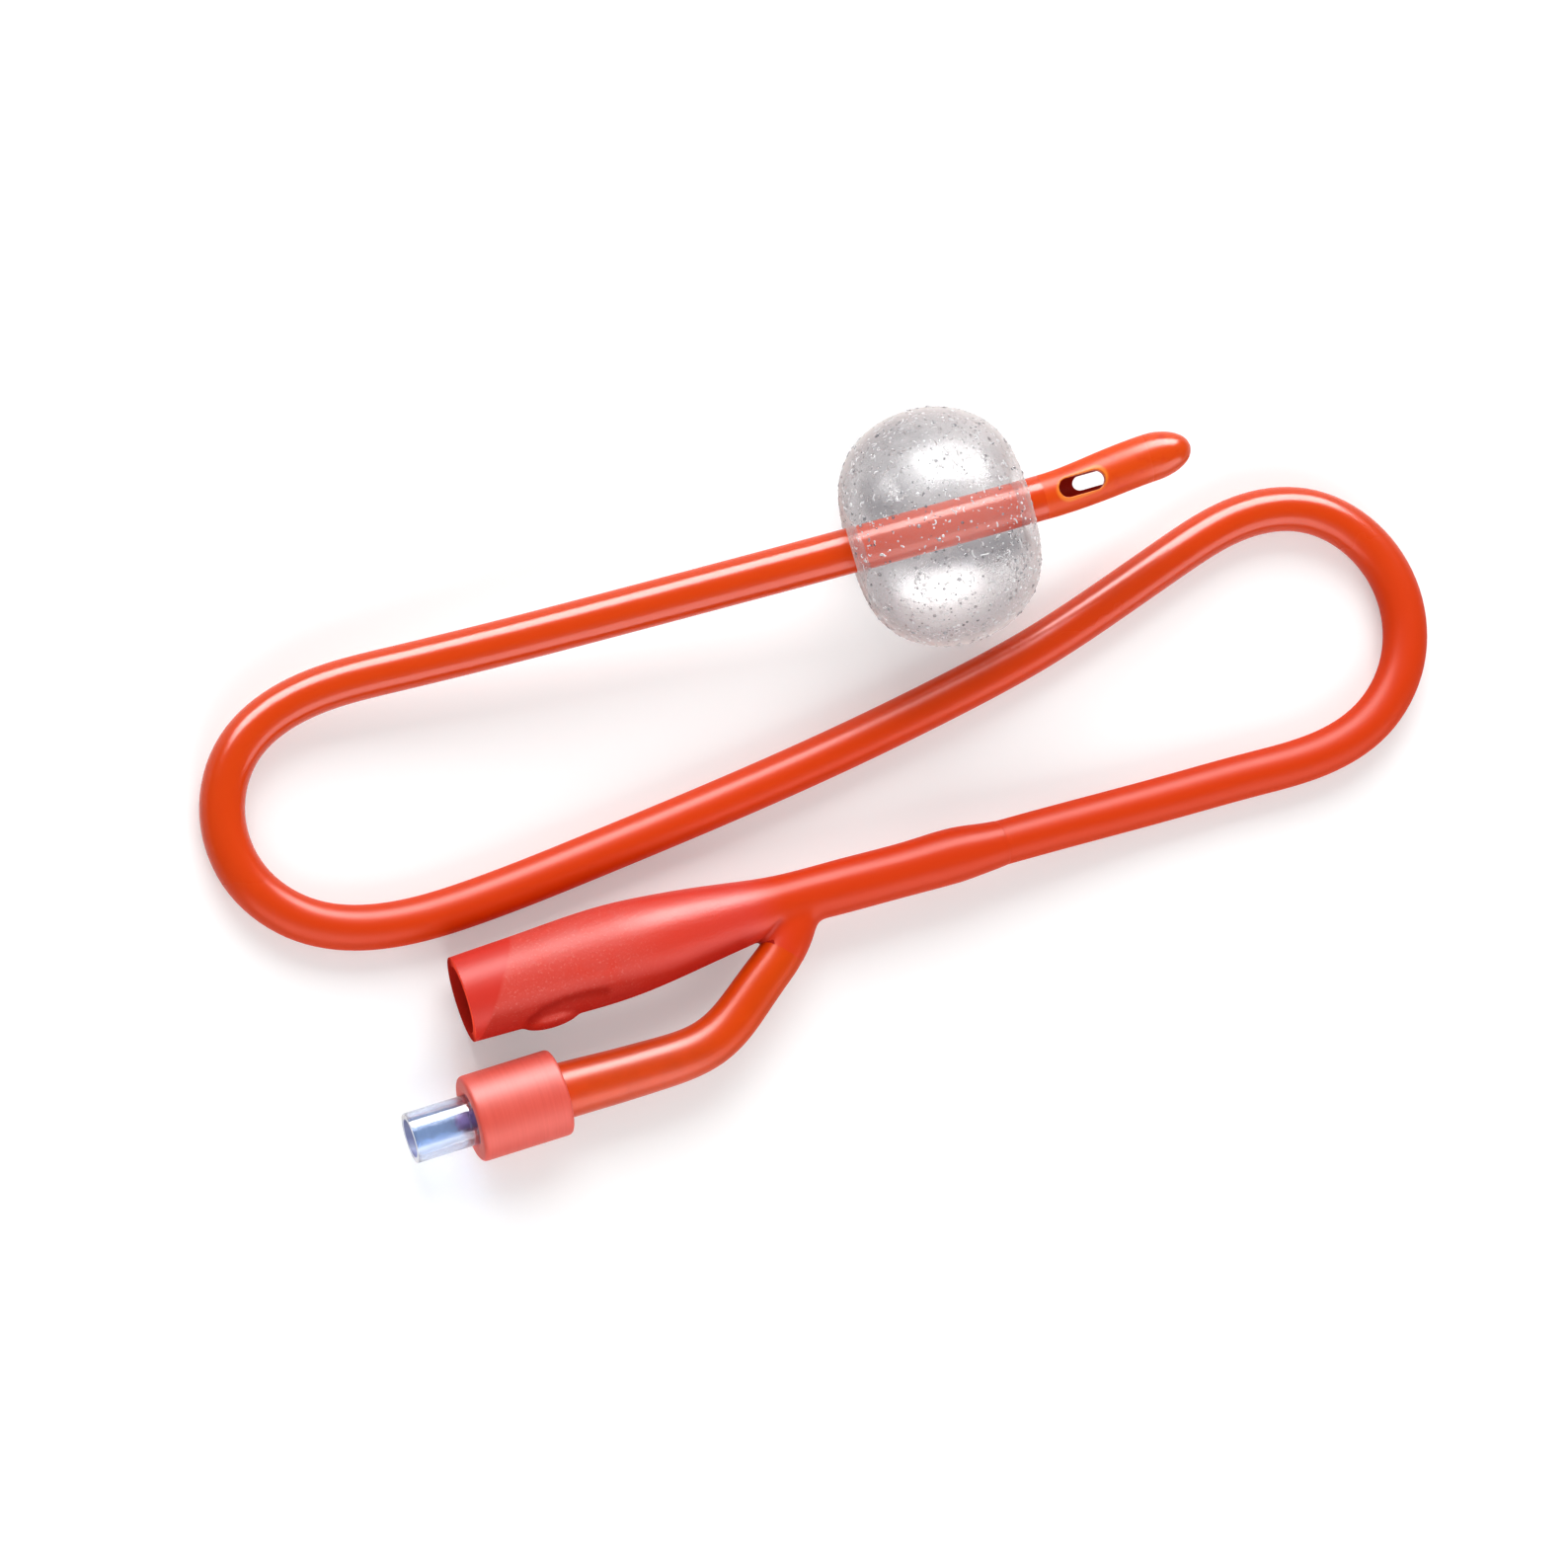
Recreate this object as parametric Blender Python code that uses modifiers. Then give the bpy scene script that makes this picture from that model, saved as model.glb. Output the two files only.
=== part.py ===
"""Two-way balloon urinary catheter, 16 French, with its retention balloon filled.

One soft tube carries a drainage lumen and a thin inflation lumen. It lies in an S on a flat surface:
the moulded funnel body at the lower left, the filled balloon and the rounded tip at the upper right.
Metres, +Z up, +X from the funnel's mouth towards the tube, z = 0 on the surface it lies on.
"""

import math

import bmesh
import bpy
import numpy as np
from mathutils import Matrix, Vector

MM = 0.001
GAP = 0.3 * MM

# Tube: outer size and its two lumens, side by side across the tube
TUBE_RADIUS = 2.665 * MM
DRAIN_LUMEN_RADIUS = 1.3 * MM
DRAIN_LUMEN_SIDE = -0.4 * MM
FILL_LUMEN_RADIUS = 0.35 * MM
FILL_LUMEN_SIDE = 1.62 * MM
FILL_PORT_RADIUS = 0.55 * MM

# The way the tube lies, from the funnel body's nose to the tip: chosen by hand, in millimetres
TUBE_ROUTE = [
    (14.9, -17.0, 5.1), (20.0, -17.15, 4.6), (28.0, -17.45, 3.6), (38.0, -17.8, 2.85), (48.0, -18.1, 2.72),
    (56.5, -18.2, 2.72), (64.3, -16.2, 2.72), (70.1, -10.9, 2.72), (72.3, -3.3, 2.72), (70.2, 4.5, 2.72),
    (64.3, 10.1, 2.72), (56.5, 11.6, 2.72), (47.0, 9.6, 2.72), (37.0, 6.5, 2.72), (27.0, 3.7, 2.72),
    (16.0, 1.5, 2.72), (2.0, -0.7, 2.72), (-14.0, -2.65, 2.72), (-32.0, -4.4, 2.72), (-47.0, -5.5, 2.72),
    (-57.5, -5.1, 2.72), (-66.2, -1.9, 2.72), (-71.6, 4.8, 2.8), (-72.1, 12.8, 3.05), (-68.0, 19.5, 3.6),
    (-60.0, 22.9, 4.5), (-49.0, 23.05, 5.75), (-36.0, 22.35, 7.3), (-22.0, 21.8, 9.0), (-8.0, 21.32, 10.75),
    (0.0, 21.06, 11.8), (8.0, 20.82, 12.85), (16.0, 20.6, 13.9), (23.0, 20.44, 14.8), (29.5, 20.32, 15.62),
]
ROUTE_LONGEST_STEP = 12 * MM
ROUTE_SHARPEST_STEP = math.radians(13)

# Funnel body: distances are measured back along its axis from the nose that meets the tube
BODY_LENGTH = 67.0 * MM
NECK_FROM_NOSE = 27.6 * MM
BELLY_FROM_MOUTH = 19.5 * MM
NOSE_TAPER_LENGTH = 4.0 * MM
NOSE_RADIUS = 2.78 * MM
SLEEVE_RADIUS = 3.2 * MM
NECK_RADIUS = 3.35 * MM
BELLY_RADIUS = 5.65 * MM
MOUTH_RADIUS = 5.1 * MM
FUNNEL_WALL = 1.1 * MM
FUNNEL_AXIS_Y = -15.85 * MM
FUNNEL_AXIS_Z = 5.8 * MM
KNUCKLE_FROM_MOUTH = 9.8 * MM
KNUCKLE_LENGTH = 7.2 * MM
KNUCKLE_DEPTH = 2.4 * MM
KNUCKLE_WIDTH = 5.6 * MM
KNUCKLE_PROUD = 0.6 * MM

# Inflation arm: leaves the body's neck and turns back beside the funnel; points in millimetres.
# The body's own stub runs to the third point, and the arm from there on
ARM_ROUTE = [
    (-10.3, -17.2, 5.7), (-12.0, -19.3, 5.75), (-14.0, -21.55, 5.7), (-16.6, -23.55, 5.65),
    (-19.6, -25.8, 5.55), (-22.6, -27.9, 5.4), (-25.4, -29.15, 5.3), (-28.6, -29.7, 5.25),
    (-32.5, -29.75, 5.2), (-37.5, -29.65, 5.2), (-43.0, -29.45, 5.2), (-48.1, -29.4, 5.2),
]
ARM_JOINT = 2
ARM_LONGEST_STEP = 4.5 * MM
ARM_SHARPEST_STEP = math.radians(9)
ARM_ROOT_FLARE = 2.8 * MM
ARM_ROOT_RADIUS = 2.62 * MM
ARM_RADIUS = 3.42 * MM
ARM_LUMEN_RADIUS = 1.75 * MM

# Cuff: the thick sleeve that grips the valve and the arm's end
CUFF_RADIUS = 5.15 * MM
CUFF_LENGTH = 11.1 * MM
CUFF_CHAMFER = 0.45 * MM
ARM_GRIP = 4.0 * MM

# Valve, measured along its axis from the mouth that takes the syringe
HOUSING_RADIUS = 3.0 * MM
SYRINGE_BORE_RADIUS = 2.3 * MM
SYRINGE_BORE_DEPTH = 7.0 * MM
SYRINGE_TAPER = 0.03
SEAT_THICKNESS = 0.9 * MM
SEAT_HOLE_RADIUS = 1.25 * MM
CHAMBER_RADIUS = 2.2 * MM
PLUNGER_TIP_DEPTH = 5.8 * MM
PLUNGER_STEM_RADIUS = 0.92 * MM
PLUNGER_RIB_THICKNESS = 0.6 * MM
PLUNGER_HUB_RADIUS = 0.8 * MM
PLUNGER_HEAD_RADIUS = 1.75 * MM
PLUNGER_HEAD_THICKNESS = 0.65 * MM
PLUNGER_GUIDE_RADIUS = 0.6 * MM
PLUNGER_GUIDE_LENGTH = 2.75 * MM
PLUNGER_TRAVEL = 1.2 * MM
SEAL_THICKNESS = 0.8 * MM
SPRING_WIRE_RADIUS = 0.15 * MM
SPRING_COIL_RADIUS = 1.25 * MM
SPRING_LENGTH = 2.7 * MM
SPRING_TURNS = 3.5
RETAINER_THICKNESS = 0.95 * MM
RETAINER_TAIL_LENGTH = 3.3 * MM
RETAINER_SLOT_WIDTH = 0.8 * MM
RETAINER_SLOTS = 3

# Retention balloon, measured on its own axis from its middle
BALLOON_RADIUS = 14.05 * MM
BALLOON_HALF_LENGTH = 10.3 * MM
BALLOON_CROWN_RADIUS = 5.6 * MM
BALLOON_WALL = 0.35 * MM
BALLOON_DIMPLE = 2.5 * MM
BALLOON_FOLD_RADIUS = 0.42 * MM
BALLOON_NECK_PAST_FOLD = 2.0 * MM
BALLOON_FROM_TUBE_END = 12.6 * MM

# Tip: moulded end with two opposed drainage eyes, measured from its joint with the tube
TIP_LENGTH = 18.3 * MM
TIP_JOINT_RADIUS = 2.72 * MM
TIP_RADIUS = 2.83 * MM
TIP_SWELL_LENGTH = 9.0 * MM
TIP_DOME_LENGTH = 5.0 * MM
TIP_SET = 1.1 * MM
TIP_SET_LENGTH = 15.0 * MM
EYE_LENGTH = 5.6 * MM
NEAR_EYE_WIDTH = 2.3 * MM
FAR_EYE_WIDTH = 1.7 * MM
NEAR_EYE_FROM_JOINT = 4.3 * MM
EYE_STAGGER = 2.3 * MM
EYE_PAST_AXIS = 0.45 * MM

LATEX = (0.83, 0.13, 0.035)
SATIN_LATEX = (0.80, 0.115, 0.065)
CUFF_CORAL = (0.86, 0.15, 0.10)
CLEAR_PLASTIC = (0.80, 0.87, 0.95)
BALLOON_RUBBER = (0.74, 0.72, 0.70)
WHITE_PLASTIC = (0.85, 0.86, 0.88)
SEAL_RUBBER = (0.05, 0.05, 0.06)
SPRING_STEEL = (0.62, 0.62, 0.64)


def clear_scene():
    for obj in list(bpy.data.objects):
        bpy.data.objects.remove(obj, do_unlink=True)


def new_collection(name, hidden=False):
    collection = bpy.data.collections.new(name)
    bpy.context.scene.collection.children.link(collection)
    collection.hide_render = hidden
    return collection


def finish(name, colour, roughness, metallic=0.0, transmission=0.0):
    material = bpy.data.materials.new(name)
    material.use_nodes = True
    shader = material.node_tree.nodes["Principled BSDF"]
    shader.inputs["Base Color"].default_value = (*colour, 1.0)
    shader.inputs["Roughness"].default_value = roughness
    shader.inputs["Metallic"].default_value = metallic
    shader.inputs["Transmission Weight"].default_value = transmission
    material.diffuse_color = (*colour, 1.0)
    return material


def metres(points):
    return [tuple(value * MM for value in point) for point in points]


def smooth_curve(points, step):
    """Samples, about a step apart, of the cubic spline through the points; extra columns ride along."""
    knots = np.array(points, float)
    reach = np.linalg.norm(np.diff(knots[:, :3], axis=0), axis=1)
    at = np.concatenate([[0.0], np.cumsum(reach)])
    count = len(knots)
    balance = np.eye(count)
    pull = np.zeros_like(knots)
    for i in range(1, count - 1):
        balance[i, i - 1:i + 2] = reach[i - 1], 2 * (reach[i - 1] + reach[i]), reach[i]
        pull[i] = 6 * ((knots[i + 1] - knots[i]) / reach[i] - (knots[i] - knots[i - 1]) / reach[i - 1])
    bend = np.linalg.solve(balance, pull)
    samples = []
    for s in np.linspace(0.0, at[-1], max(2, round(at[-1] / step) + 1)):
        i = min(int(np.searchsorted(at, s, side="right")) - 1, count - 2)
        width = reach[i]
        a = (at[i + 1] - s) / width
        b = 1 - a
        curved = ((a**3 - a) * bend[i] + (b**3 - b) * bend[i + 1]) * width**2 / 6
        samples.append(a * knots[i] + b * knots[i + 1] + curved)
    return np.array(samples)


def thinned(curve, longest, sharpest):
    """Fewer samples: one wherever the length and the turn since the last add up to a full step."""
    kept = [0]
    spent = 0.0
    for i in range(1, len(curve) - 1):
        into = curve[i, :3] - curve[i - 1, :3]
        out = curve[i + 1, :3] - curve[i, :3]
        spent += np.linalg.norm(into) / longest + Vector(into).angle(Vector(out)) / sharpest
        if spent >= 1:
            kept.append(i)
            spent = 0.0
    kept.append(len(curve) - 1)
    return curve[kept]


def eased(share):
    """A share from 0 to 1 with a soft start and a soft stop."""
    share = min(1.0, max(0.0, share))
    return share * share * (3 - 2 * share)


def tangents(path):
    found = np.gradient(path[:, :3], axis=0)
    return found / np.linalg.norm(found, axis=1)[:, None]


def beside(path, side):
    """The path moved sideways in the surface's plane: positive is to the right of the way it runs."""
    ahead = tangents(path)
    across = np.stack([ahead[:, 1], -ahead[:, 0], np.zeros(len(path))], axis=1)
    across /= np.linalg.norm(across, axis=1)[:, None]
    return np.column_stack([path[:, :3] + side * across, path[:, 3:]])


def lengthened(path, before, after):
    """The path with a straight stretch added at each end."""
    ahead = tangents(path)
    first = path[0].copy()
    last = path[-1].copy()
    first[:3] -= before * ahead[0]
    last[:3] += after * ahead[-1]
    return np.vstack([first, path, last])


def swept(name, path, radius, sides, material, collection):
    """A round bar along the path, as a welded mesh. A fourth column in the path is its radius there."""
    radii = path[:, 3] if path.shape[1] > 3 else np.full(len(path), radius)
    largest = float(radii.max())
    curve = bpy.data.curves.new(name, "CURVE")
    curve.dimensions = "3D"
    curve.twist_mode = "Z_UP"
    curve.bevel_depth = largest
    curve.bevel_resolution = (sides - 4) // 2
    curve.use_fill_caps = True
    spline = curve.splines.new("POLY")
    spline.points.add(len(path) - 1)
    for point, place, size in zip(spline.points, path, radii):
        point.co = (*place[:3], 1.0)
        point.radius = size / largest
    guide = bpy.data.objects.new(name + "_guide", curve)
    collection.objects.link(guide)
    bpy.context.view_layer.update()
    mesh = bpy.data.meshes.new_from_object(guide.evaluated_get(bpy.context.evaluated_depsgraph_get()))
    work = bmesh.new()
    work.from_mesh(mesh)
    bmesh.ops.remove_doubles(work, verts=work.verts, dist=1e-6)
    bmesh.ops.recalc_face_normals(work, faces=work.faces)
    work.to_mesh(mesh)
    work.free()
    bar = bpy.data.objects.new(name, mesh)
    bar.matrix_world = guide.matrix_world
    bpy.data.objects.remove(guide)
    collection.objects.link(bar)
    return dressed(bar, material)


def turned(name, outline, steps, material, collection):
    """A shape turned on its own Z axis. The outline is (radius, height) pairs, down the outer side first."""
    mesh = bpy.data.meshes.new(name)
    closed = outline[0][0] > 0 and outline[-1][0] > 0
    edges = [(i, i + 1) for i in range(len(outline) - 1)]
    if closed:
        edges.append((len(outline) - 1, 0))
    mesh.from_pydata([(radius, 0.0, height) for radius, height in outline], edges, [])
    obj = bpy.data.objects.new(name, mesh)
    collection.objects.link(obj)
    add_screw(obj, steps)
    return dressed(obj, material)


def add_screw(obj, steps):
    screw = obj.modifiers.new("Turn", "SCREW")
    screw.steps = steps
    screw.render_steps = steps
    screw.use_merge_vertices = True
    screw.merge_threshold = 1e-6


def box(name, size, collection, bevel=0.0):
    """A box on its own centre; bevel rounds the four edges that run along its Z axis."""
    work = bmesh.new()
    bmesh.ops.create_cube(work, size=1.0, matrix=Matrix.Diagonal((*size, 1.0)))
    if bevel:
        upright = [e for e in work.edges if abs((e.verts[0].co - e.verts[1].co).normalized().z) > 0.9]
        bmesh.ops.bevel(work, geom=upright, offset=bevel, offset_type="OFFSET", segments=6, profile=0.5,
                        affect="EDGES", material=-1)
    mesh = bpy.data.meshes.new(name)
    work.to_mesh(mesh)
    work.free()
    obj = bpy.data.objects.new(name, mesh)
    collection.objects.link(obj)
    return obj


def ellipsoid(name, half_sizes, collection):
    work = bmesh.new()
    bmesh.ops.create_uvsphere(work, u_segments=20, v_segments=12, radius=1.0,
                              matrix=Matrix.Diagonal((*half_sizes, 1.0)))
    mesh = bpy.data.meshes.new(name)
    work.to_mesh(mesh)
    work.free()
    obj = bpy.data.objects.new(name, mesh)
    collection.objects.link(obj)
    return obj


def dressed(obj, material):
    if material:
        obj.data.materials.append(material)
    obj.data.shade_smooth()
    obj.data.set_sharp_from_angle(angle=math.radians(35))
    return obj


def combine(target, other, operation):
    boolean = target.modifiers.new(other.name, "BOOLEAN")
    boolean.operation = operation
    boolean.solver = "EXACT"
    boolean.object = other
    other.display_type = "WIRE"
    other.hide_render = True


def place_on_axis(obj, start, along):
    """Stands the object's own Z axis along a direction, from a start point."""
    obj.location = start
    obj.rotation_mode = "QUATERNION"
    obj.rotation_quaternion = Vector(along).to_track_quat("Z", "Y")


def tube_path():
    return thinned(smooth_curve(metres(TUBE_ROUTE), 0.4 * MM), ROUTE_LONGEST_STEP, ROUTE_SHARPEST_STEP)


def tube_end(path):
    return Vector(path[-1]), Vector(tangents(path)[-1])


def build_tube(parts, cutters, latex, path):
    """The dipped tube: a bar along the route, with its two lumens cut right through from the nose."""
    tube = swept("shaft_tube", path, TUBE_RADIUS, 14, latex, parts)
    over = 1 * MM
    drain = swept("drain_lumen", lengthened(beside(path, DRAIN_LUMEN_SIDE), over, over),
                  DRAIN_LUMEN_RADIUS, 10, None, cutters)
    combine(tube, drain, "DIFFERENCE")
    end, ahead = tube_end(path)
    balloon_middle = end - ahead * BALLOON_FROM_TUBE_END
    fill_path = beside(path, FILL_LUMEN_SIDE)
    short = np.array([p for p in fill_path if (Vector(p[:3]) - balloon_middle).dot(ahead) < 0
                      or (Vector(p[:3]) - balloon_middle).length > 3 * BALLOON_RADIUS])
    fill = swept("fill_lumen", lengthened(short, over, 0.5 * MM), FILL_LUMEN_RADIUS, 6, None, cutters)
    combine(tube, fill, "DIFFERENCE")
    combine(tube, fill_port(cutters, short), "DIFFERENCE")
    return tube


def fill_port(cutters, fill_path):
    """The hole through the tube's wall that lets water from the inflation lumen into the balloon."""
    ahead = tangents(fill_path)[-1]
    out = Vector((ahead[1], -ahead[0], 0.0)).normalized()
    depth = 2 * TUBE_RADIUS
    port = turned("fill_port", [(0.0, depth), (FILL_PORT_RADIUS, depth), (FILL_PORT_RADIUS, 0.0), (0.0, 0.0)],
                  10, None, cutters)
    start = Vector(fill_path[-1][:3]) - Vector(ahead) * FILL_PORT_RADIUS
    place_on_axis(port, start, out)
    return port


def body_axis():
    """Stations of the funnel body from mouth to nose: place and outer radius."""
    nose = Vector(TUBE_ROUTE[0]) * MM
    mouth_x = nose.x - GAP - BODY_LENGTH
    neck_x = nose.x - GAP - NECK_FROM_NOSE
    belly_x = mouth_x + BELLY_FROM_MOUTH
    nose_x = nose.x - GAP
    flank = neck_x - belly_x
    sleeve = nose_x - NOSE_TAPER_LENGTH - neck_x
    y0, z0 = FUNNEL_AXIS_Y, FUNNEL_AXIS_Z
    lip = 1.0 * MM

    def sunk(share):
        return y0 + (nose.y - y0) * share, z0 + (nose.z - z0) * share

    return [
        (mouth_x, y0, z0, MOUTH_RADIUS),
        (mouth_x + lip, y0, z0, MOUTH_RADIUS + 0.08 * (BELLY_RADIUS - MOUTH_RADIUS)),
        (mouth_x + 0.45 * BELLY_FROM_MOUTH, y0, z0, MOUTH_RADIUS + 0.55 * (BELLY_RADIUS - MOUTH_RADIUS)),
        (belly_x, y0, z0, BELLY_RADIUS),
        (belly_x + 0.22 * flank, y0, z0, NECK_RADIUS + 0.86 * (BELLY_RADIUS - NECK_RADIUS)),
        (belly_x + 0.47 * flank, y0, z0, NECK_RADIUS + 0.60 * (BELLY_RADIUS - NECK_RADIUS)),
        (belly_x + 0.75 * flank, *sunk(0.08), NECK_RADIUS + 0.26 * (BELLY_RADIUS - NECK_RADIUS)),
        (neck_x, *sunk(0.2), NECK_RADIUS),
        (neck_x + 0.35 * sleeve, *sunk(0.42), SLEEVE_RADIUS),
        (neck_x + 0.75 * sleeve, *sunk(0.72), SLEEVE_RADIUS),
        (nose_x - NOSE_TAPER_LENGTH, *sunk(0.84), SLEEVE_RADIUS),
        (nose_x - 0.4 * NOSE_TAPER_LENGTH, *sunk(0.95), 0.4 * SLEEVE_RADIUS + 0.6 * NOSE_RADIUS),
        (nose_x, nose.y, nose.z, NOSE_RADIUS),
    ]


def bore_stations(axis):
    """The drainage bore inside the body: an even wall round the funnel, then the lumen to the nose."""
    stations = []
    for x, y, z, radius in axis:
        narrow = eased((x - axis[3][0]) / (axis[7][0] - axis[3][0]))
        bore = (1 - narrow) * (radius - FUNNEL_WALL) + narrow * DRAIN_LUMEN_RADIUS
        stations.append((x, y - narrow * DRAIN_LUMEN_SIDE, z, bore))
    return stations


def build_body(parts, cutters, satin):
    """The moulded funnel and the sleeve that holds the tube, with the stub that the inflation arm joins."""
    axis = body_axis()
    outside = smooth_curve(axis, 1.7 * MM)
    outside[0, 1:3] = outside[1, 1:3] = axis[0][1:3]
    body = swept("funnel_body", outside, 0, 28, satin, parts)

    root = arm_paths()[0]
    radii = np.interp(root[:, 0], [root[-1, 0], 0.5 * (root[0, 0] + root[-1, 0]), root[0, 0]],
                      [ARM_ROOT_RADIUS, ARM_ROOT_FLARE, 0.8 * SLEEVE_RADIUS])
    stub = swept("arm_stub", np.column_stack([root, radii]), 0, 20, None, cutters)
    combine(body, stub, "UNION")

    knuckle = ellipsoid("knuckle", (KNUCKLE_LENGTH / 2, KNUCKLE_DEPTH / 2, KNUCKLE_WIDTH / 2), cutters)
    knuckle.location = (axis[0][0] + KNUCKLE_FROM_MOUTH,
                        FUNNEL_AXIS_Y - BELLY_RADIUS - KNUCKLE_PROUD + KNUCKLE_DEPTH / 2, FUNNEL_AXIS_Z)
    combine(body, knuckle, "UNION")

    over = 1 * MM
    bore = smooth_curve(bore_stations(axis), 2.2 * MM)
    drain = swept("funnel_bore", lengthened(bore, over, over), 0, 20, None, cutters)
    combine(body, drain, "DIFFERENCE")
    combine(body, inflation_channel(cutters, outside), "DIFFERENCE")
    return body


def arm_paths():
    """The arm's run in two stretches with a gap between them: the body's stub, then the arm itself."""
    curve = smooth_curve(metres(ARM_ROUTE), 0.4 * MM)
    joint = int(np.argmin(np.linalg.norm(curve - np.array(ARM_ROUTE[ARM_JOINT]) * MM, axis=1)))
    stub = thinned(curve[:joint], ARM_LONGEST_STEP, ARM_SHARPEST_STEP)
    arm = thinned(curve[joint + 2:], ARM_LONGEST_STEP, ARM_SHARPEST_STEP)
    start = curve[joint] + GAP * tangents(curve)[joint]
    return np.vstack([stub, curve[joint]]), np.vstack([start, arm])


def inflation_channel(cutters, outside):
    """The passage from the arm into the thin lumen beside the drainage bore, out through the nose."""
    nose_run = [station for station in beside(outside[:, :3], FILL_LUMEN_SIDE) if station[0] > 0]
    entry = metres(ARM_ROUTE[:ARM_JOINT + 1])
    along_nose = [(*place, FILL_LUMEN_RADIUS) for place in nose_run[1::3]]
    stations = [
        (*entry[2], ARM_LUMEN_RADIUS),
        (*(0.5 * (Vector(entry[1]) + Vector(entry[2]))), 0.8 * ARM_LUMEN_RADIUS),
        (*(Vector(entry[1]) + Vector((0.0, -0.3, 0.0)) * MM), 0.45 * ARM_LUMEN_RADIUS),
        *along_nose,
        (*nose_run[-1], FILL_LUMEN_RADIUS),
    ]
    path = lengthened(smooth_curve(stations, 2.0 * MM), 1 * MM, 1 * MM)
    path[:, 3] = np.maximum(path[:, 3], FILL_LUMEN_RADIUS)
    return swept("inflation_channel", path, 0, 10, None, cutters)


def build_arm(parts, cutters, latex):
    """The side tube that carries water from the valve to the inflation lumen."""
    path = arm_paths()[1]
    along = (path[0, 0] - path[:, 0]) / (path[0, 0] - path[-1, 0])
    radii = ARM_ROOT_RADIUS + (ARM_RADIUS - ARM_ROOT_RADIUS) * along
    arm = swept("inflation_arm", np.column_stack([path, radii]), 0, 20, latex, parts)
    lumen = swept("arm_lumen", lengthened(path, 1 * MM, 1 * MM), ARM_LUMEN_RADIUS, 12, None, cutters)
    combine(arm, lumen, "DIFFERENCE")
    return arm


def valve_depths():
    """Where the pieces behind the seat lie along the valve's axis, from its mouth."""
    seal = SYRINGE_BORE_DEPTH + SEAT_THICKNESS + GAP
    head = seal + SEAL_THICKNESS + GAP
    spring = head + PLUNGER_HEAD_THICKNESS + GAP
    retainer = spring + SPRING_LENGTH + GAP
    return {"seal": seal, "head": head, "spring": spring, "retainer": retainer,
            "housing_end": retainer + RETAINER_THICKNESS}


def valve_start():
    """The middle of the valve's mouth. The housing's far end meets the arm's end inside the cuff."""
    arm_end = Vector(ARM_ROUTE[-1]) * MM
    return Vector((arm_end.x - GAP - valve_depths()["housing_end"], arm_end.y, arm_end.z))


def build_cuff(parts, coral):
    rear = ARM_ROUTE[-1][0] * MM + ARM_GRIP
    front_bore = HOUSING_RADIUS + GAP
    rear_bore = ARM_RADIUS + GAP
    step = CUFF_LENGTH - ARM_GRIP - GAP
    outline = [
        (rear_bore, CUFF_LENGTH), (CUFF_RADIUS - CUFF_CHAMFER, CUFF_LENGTH),
        (CUFF_RADIUS, CUFF_LENGTH - CUFF_CHAMFER), (CUFF_RADIUS, CUFF_CHAMFER),
        (CUFF_RADIUS - CUFF_CHAMFER, 0.0), (front_bore, 0.0), (front_bore, step), (rear_bore, step),
    ]
    cuff = turned("valve_cuff", outline, 36, coral, parts)
    place_on_axis(cuff, (rear - CUFF_LENGTH, ARM_ROUTE[-1][1] * MM, ARM_ROUTE[-1][2] * MM), (1, 0, 0))
    return cuff


def build_housing(parts, clear):
    """The clear barrel: a tapered bore for the syringe, a seat across it, and the chamber behind."""
    bore_end = SYRINGE_BORE_RADIUS - SYRINGE_TAPER * SYRINGE_BORE_DEPTH
    seat_back = SYRINGE_BORE_DEPTH + SEAT_THICKNESS
    length = valve_depths()["housing_end"]
    outline = [
        (CHAMBER_RADIUS, length), (HOUSING_RADIUS, length), (HOUSING_RADIUS, 0.0),
        (SYRINGE_BORE_RADIUS, 0.0), (bore_end, SYRINGE_BORE_DEPTH), (SEAT_HOLE_RADIUS, SYRINGE_BORE_DEPTH),
        (SEAT_HOLE_RADIUS, seat_back), (CHAMBER_RADIUS, seat_back),
    ]
    housing = turned("valve_housing", outline, 32, clear, parts)
    place_on_axis(housing, valve_start(), (1, 0, 0))
    return housing


def build_plunger(parts, cutters, white):
    """The poppet: a ribbed stem that the syringe pushes, a head behind the seal and a spring guide."""
    depths = valve_depths()
    hub_start = depths["seal"] - 0.5 * GAP
    head_back = depths["head"] + PLUNGER_HEAD_THICKNESS
    guide_end = head_back + PLUNGER_GUIDE_LENGTH
    outline = [
        (0.0, guide_end), (PLUNGER_GUIDE_RADIUS, guide_end), (PLUNGER_GUIDE_RADIUS, head_back),
        (PLUNGER_HEAD_RADIUS, head_back), (PLUNGER_HEAD_RADIUS, depths["head"]),
        (PLUNGER_HUB_RADIUS, depths["head"]), (PLUNGER_HUB_RADIUS, hub_start), (0.0, hub_start),
    ]
    plunger = turned("valve_plunger", outline, 20, white, parts)
    place_on_axis(plunger, valve_start(), (1, 0, 0))
    stem_end = hub_start + 0.3 * MM
    length = stem_end - PLUNGER_TIP_DEPTH
    for turn, name in ((0.0, "stem_rib_upright"), (math.pi / 2, "stem_rib_level")):
        rib = box(name, (2 * PLUNGER_STEM_RADIUS, PLUNGER_RIB_THICKNESS, length), cutters)
        rib.parent = plunger
        rib.location = (0.0, 0.0, PLUNGER_TIP_DEPTH + length / 2)
        rib.rotation_euler = (0.0, 0.0, turn)
        combine(plunger, rib, "UNION")
    return plunger


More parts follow.
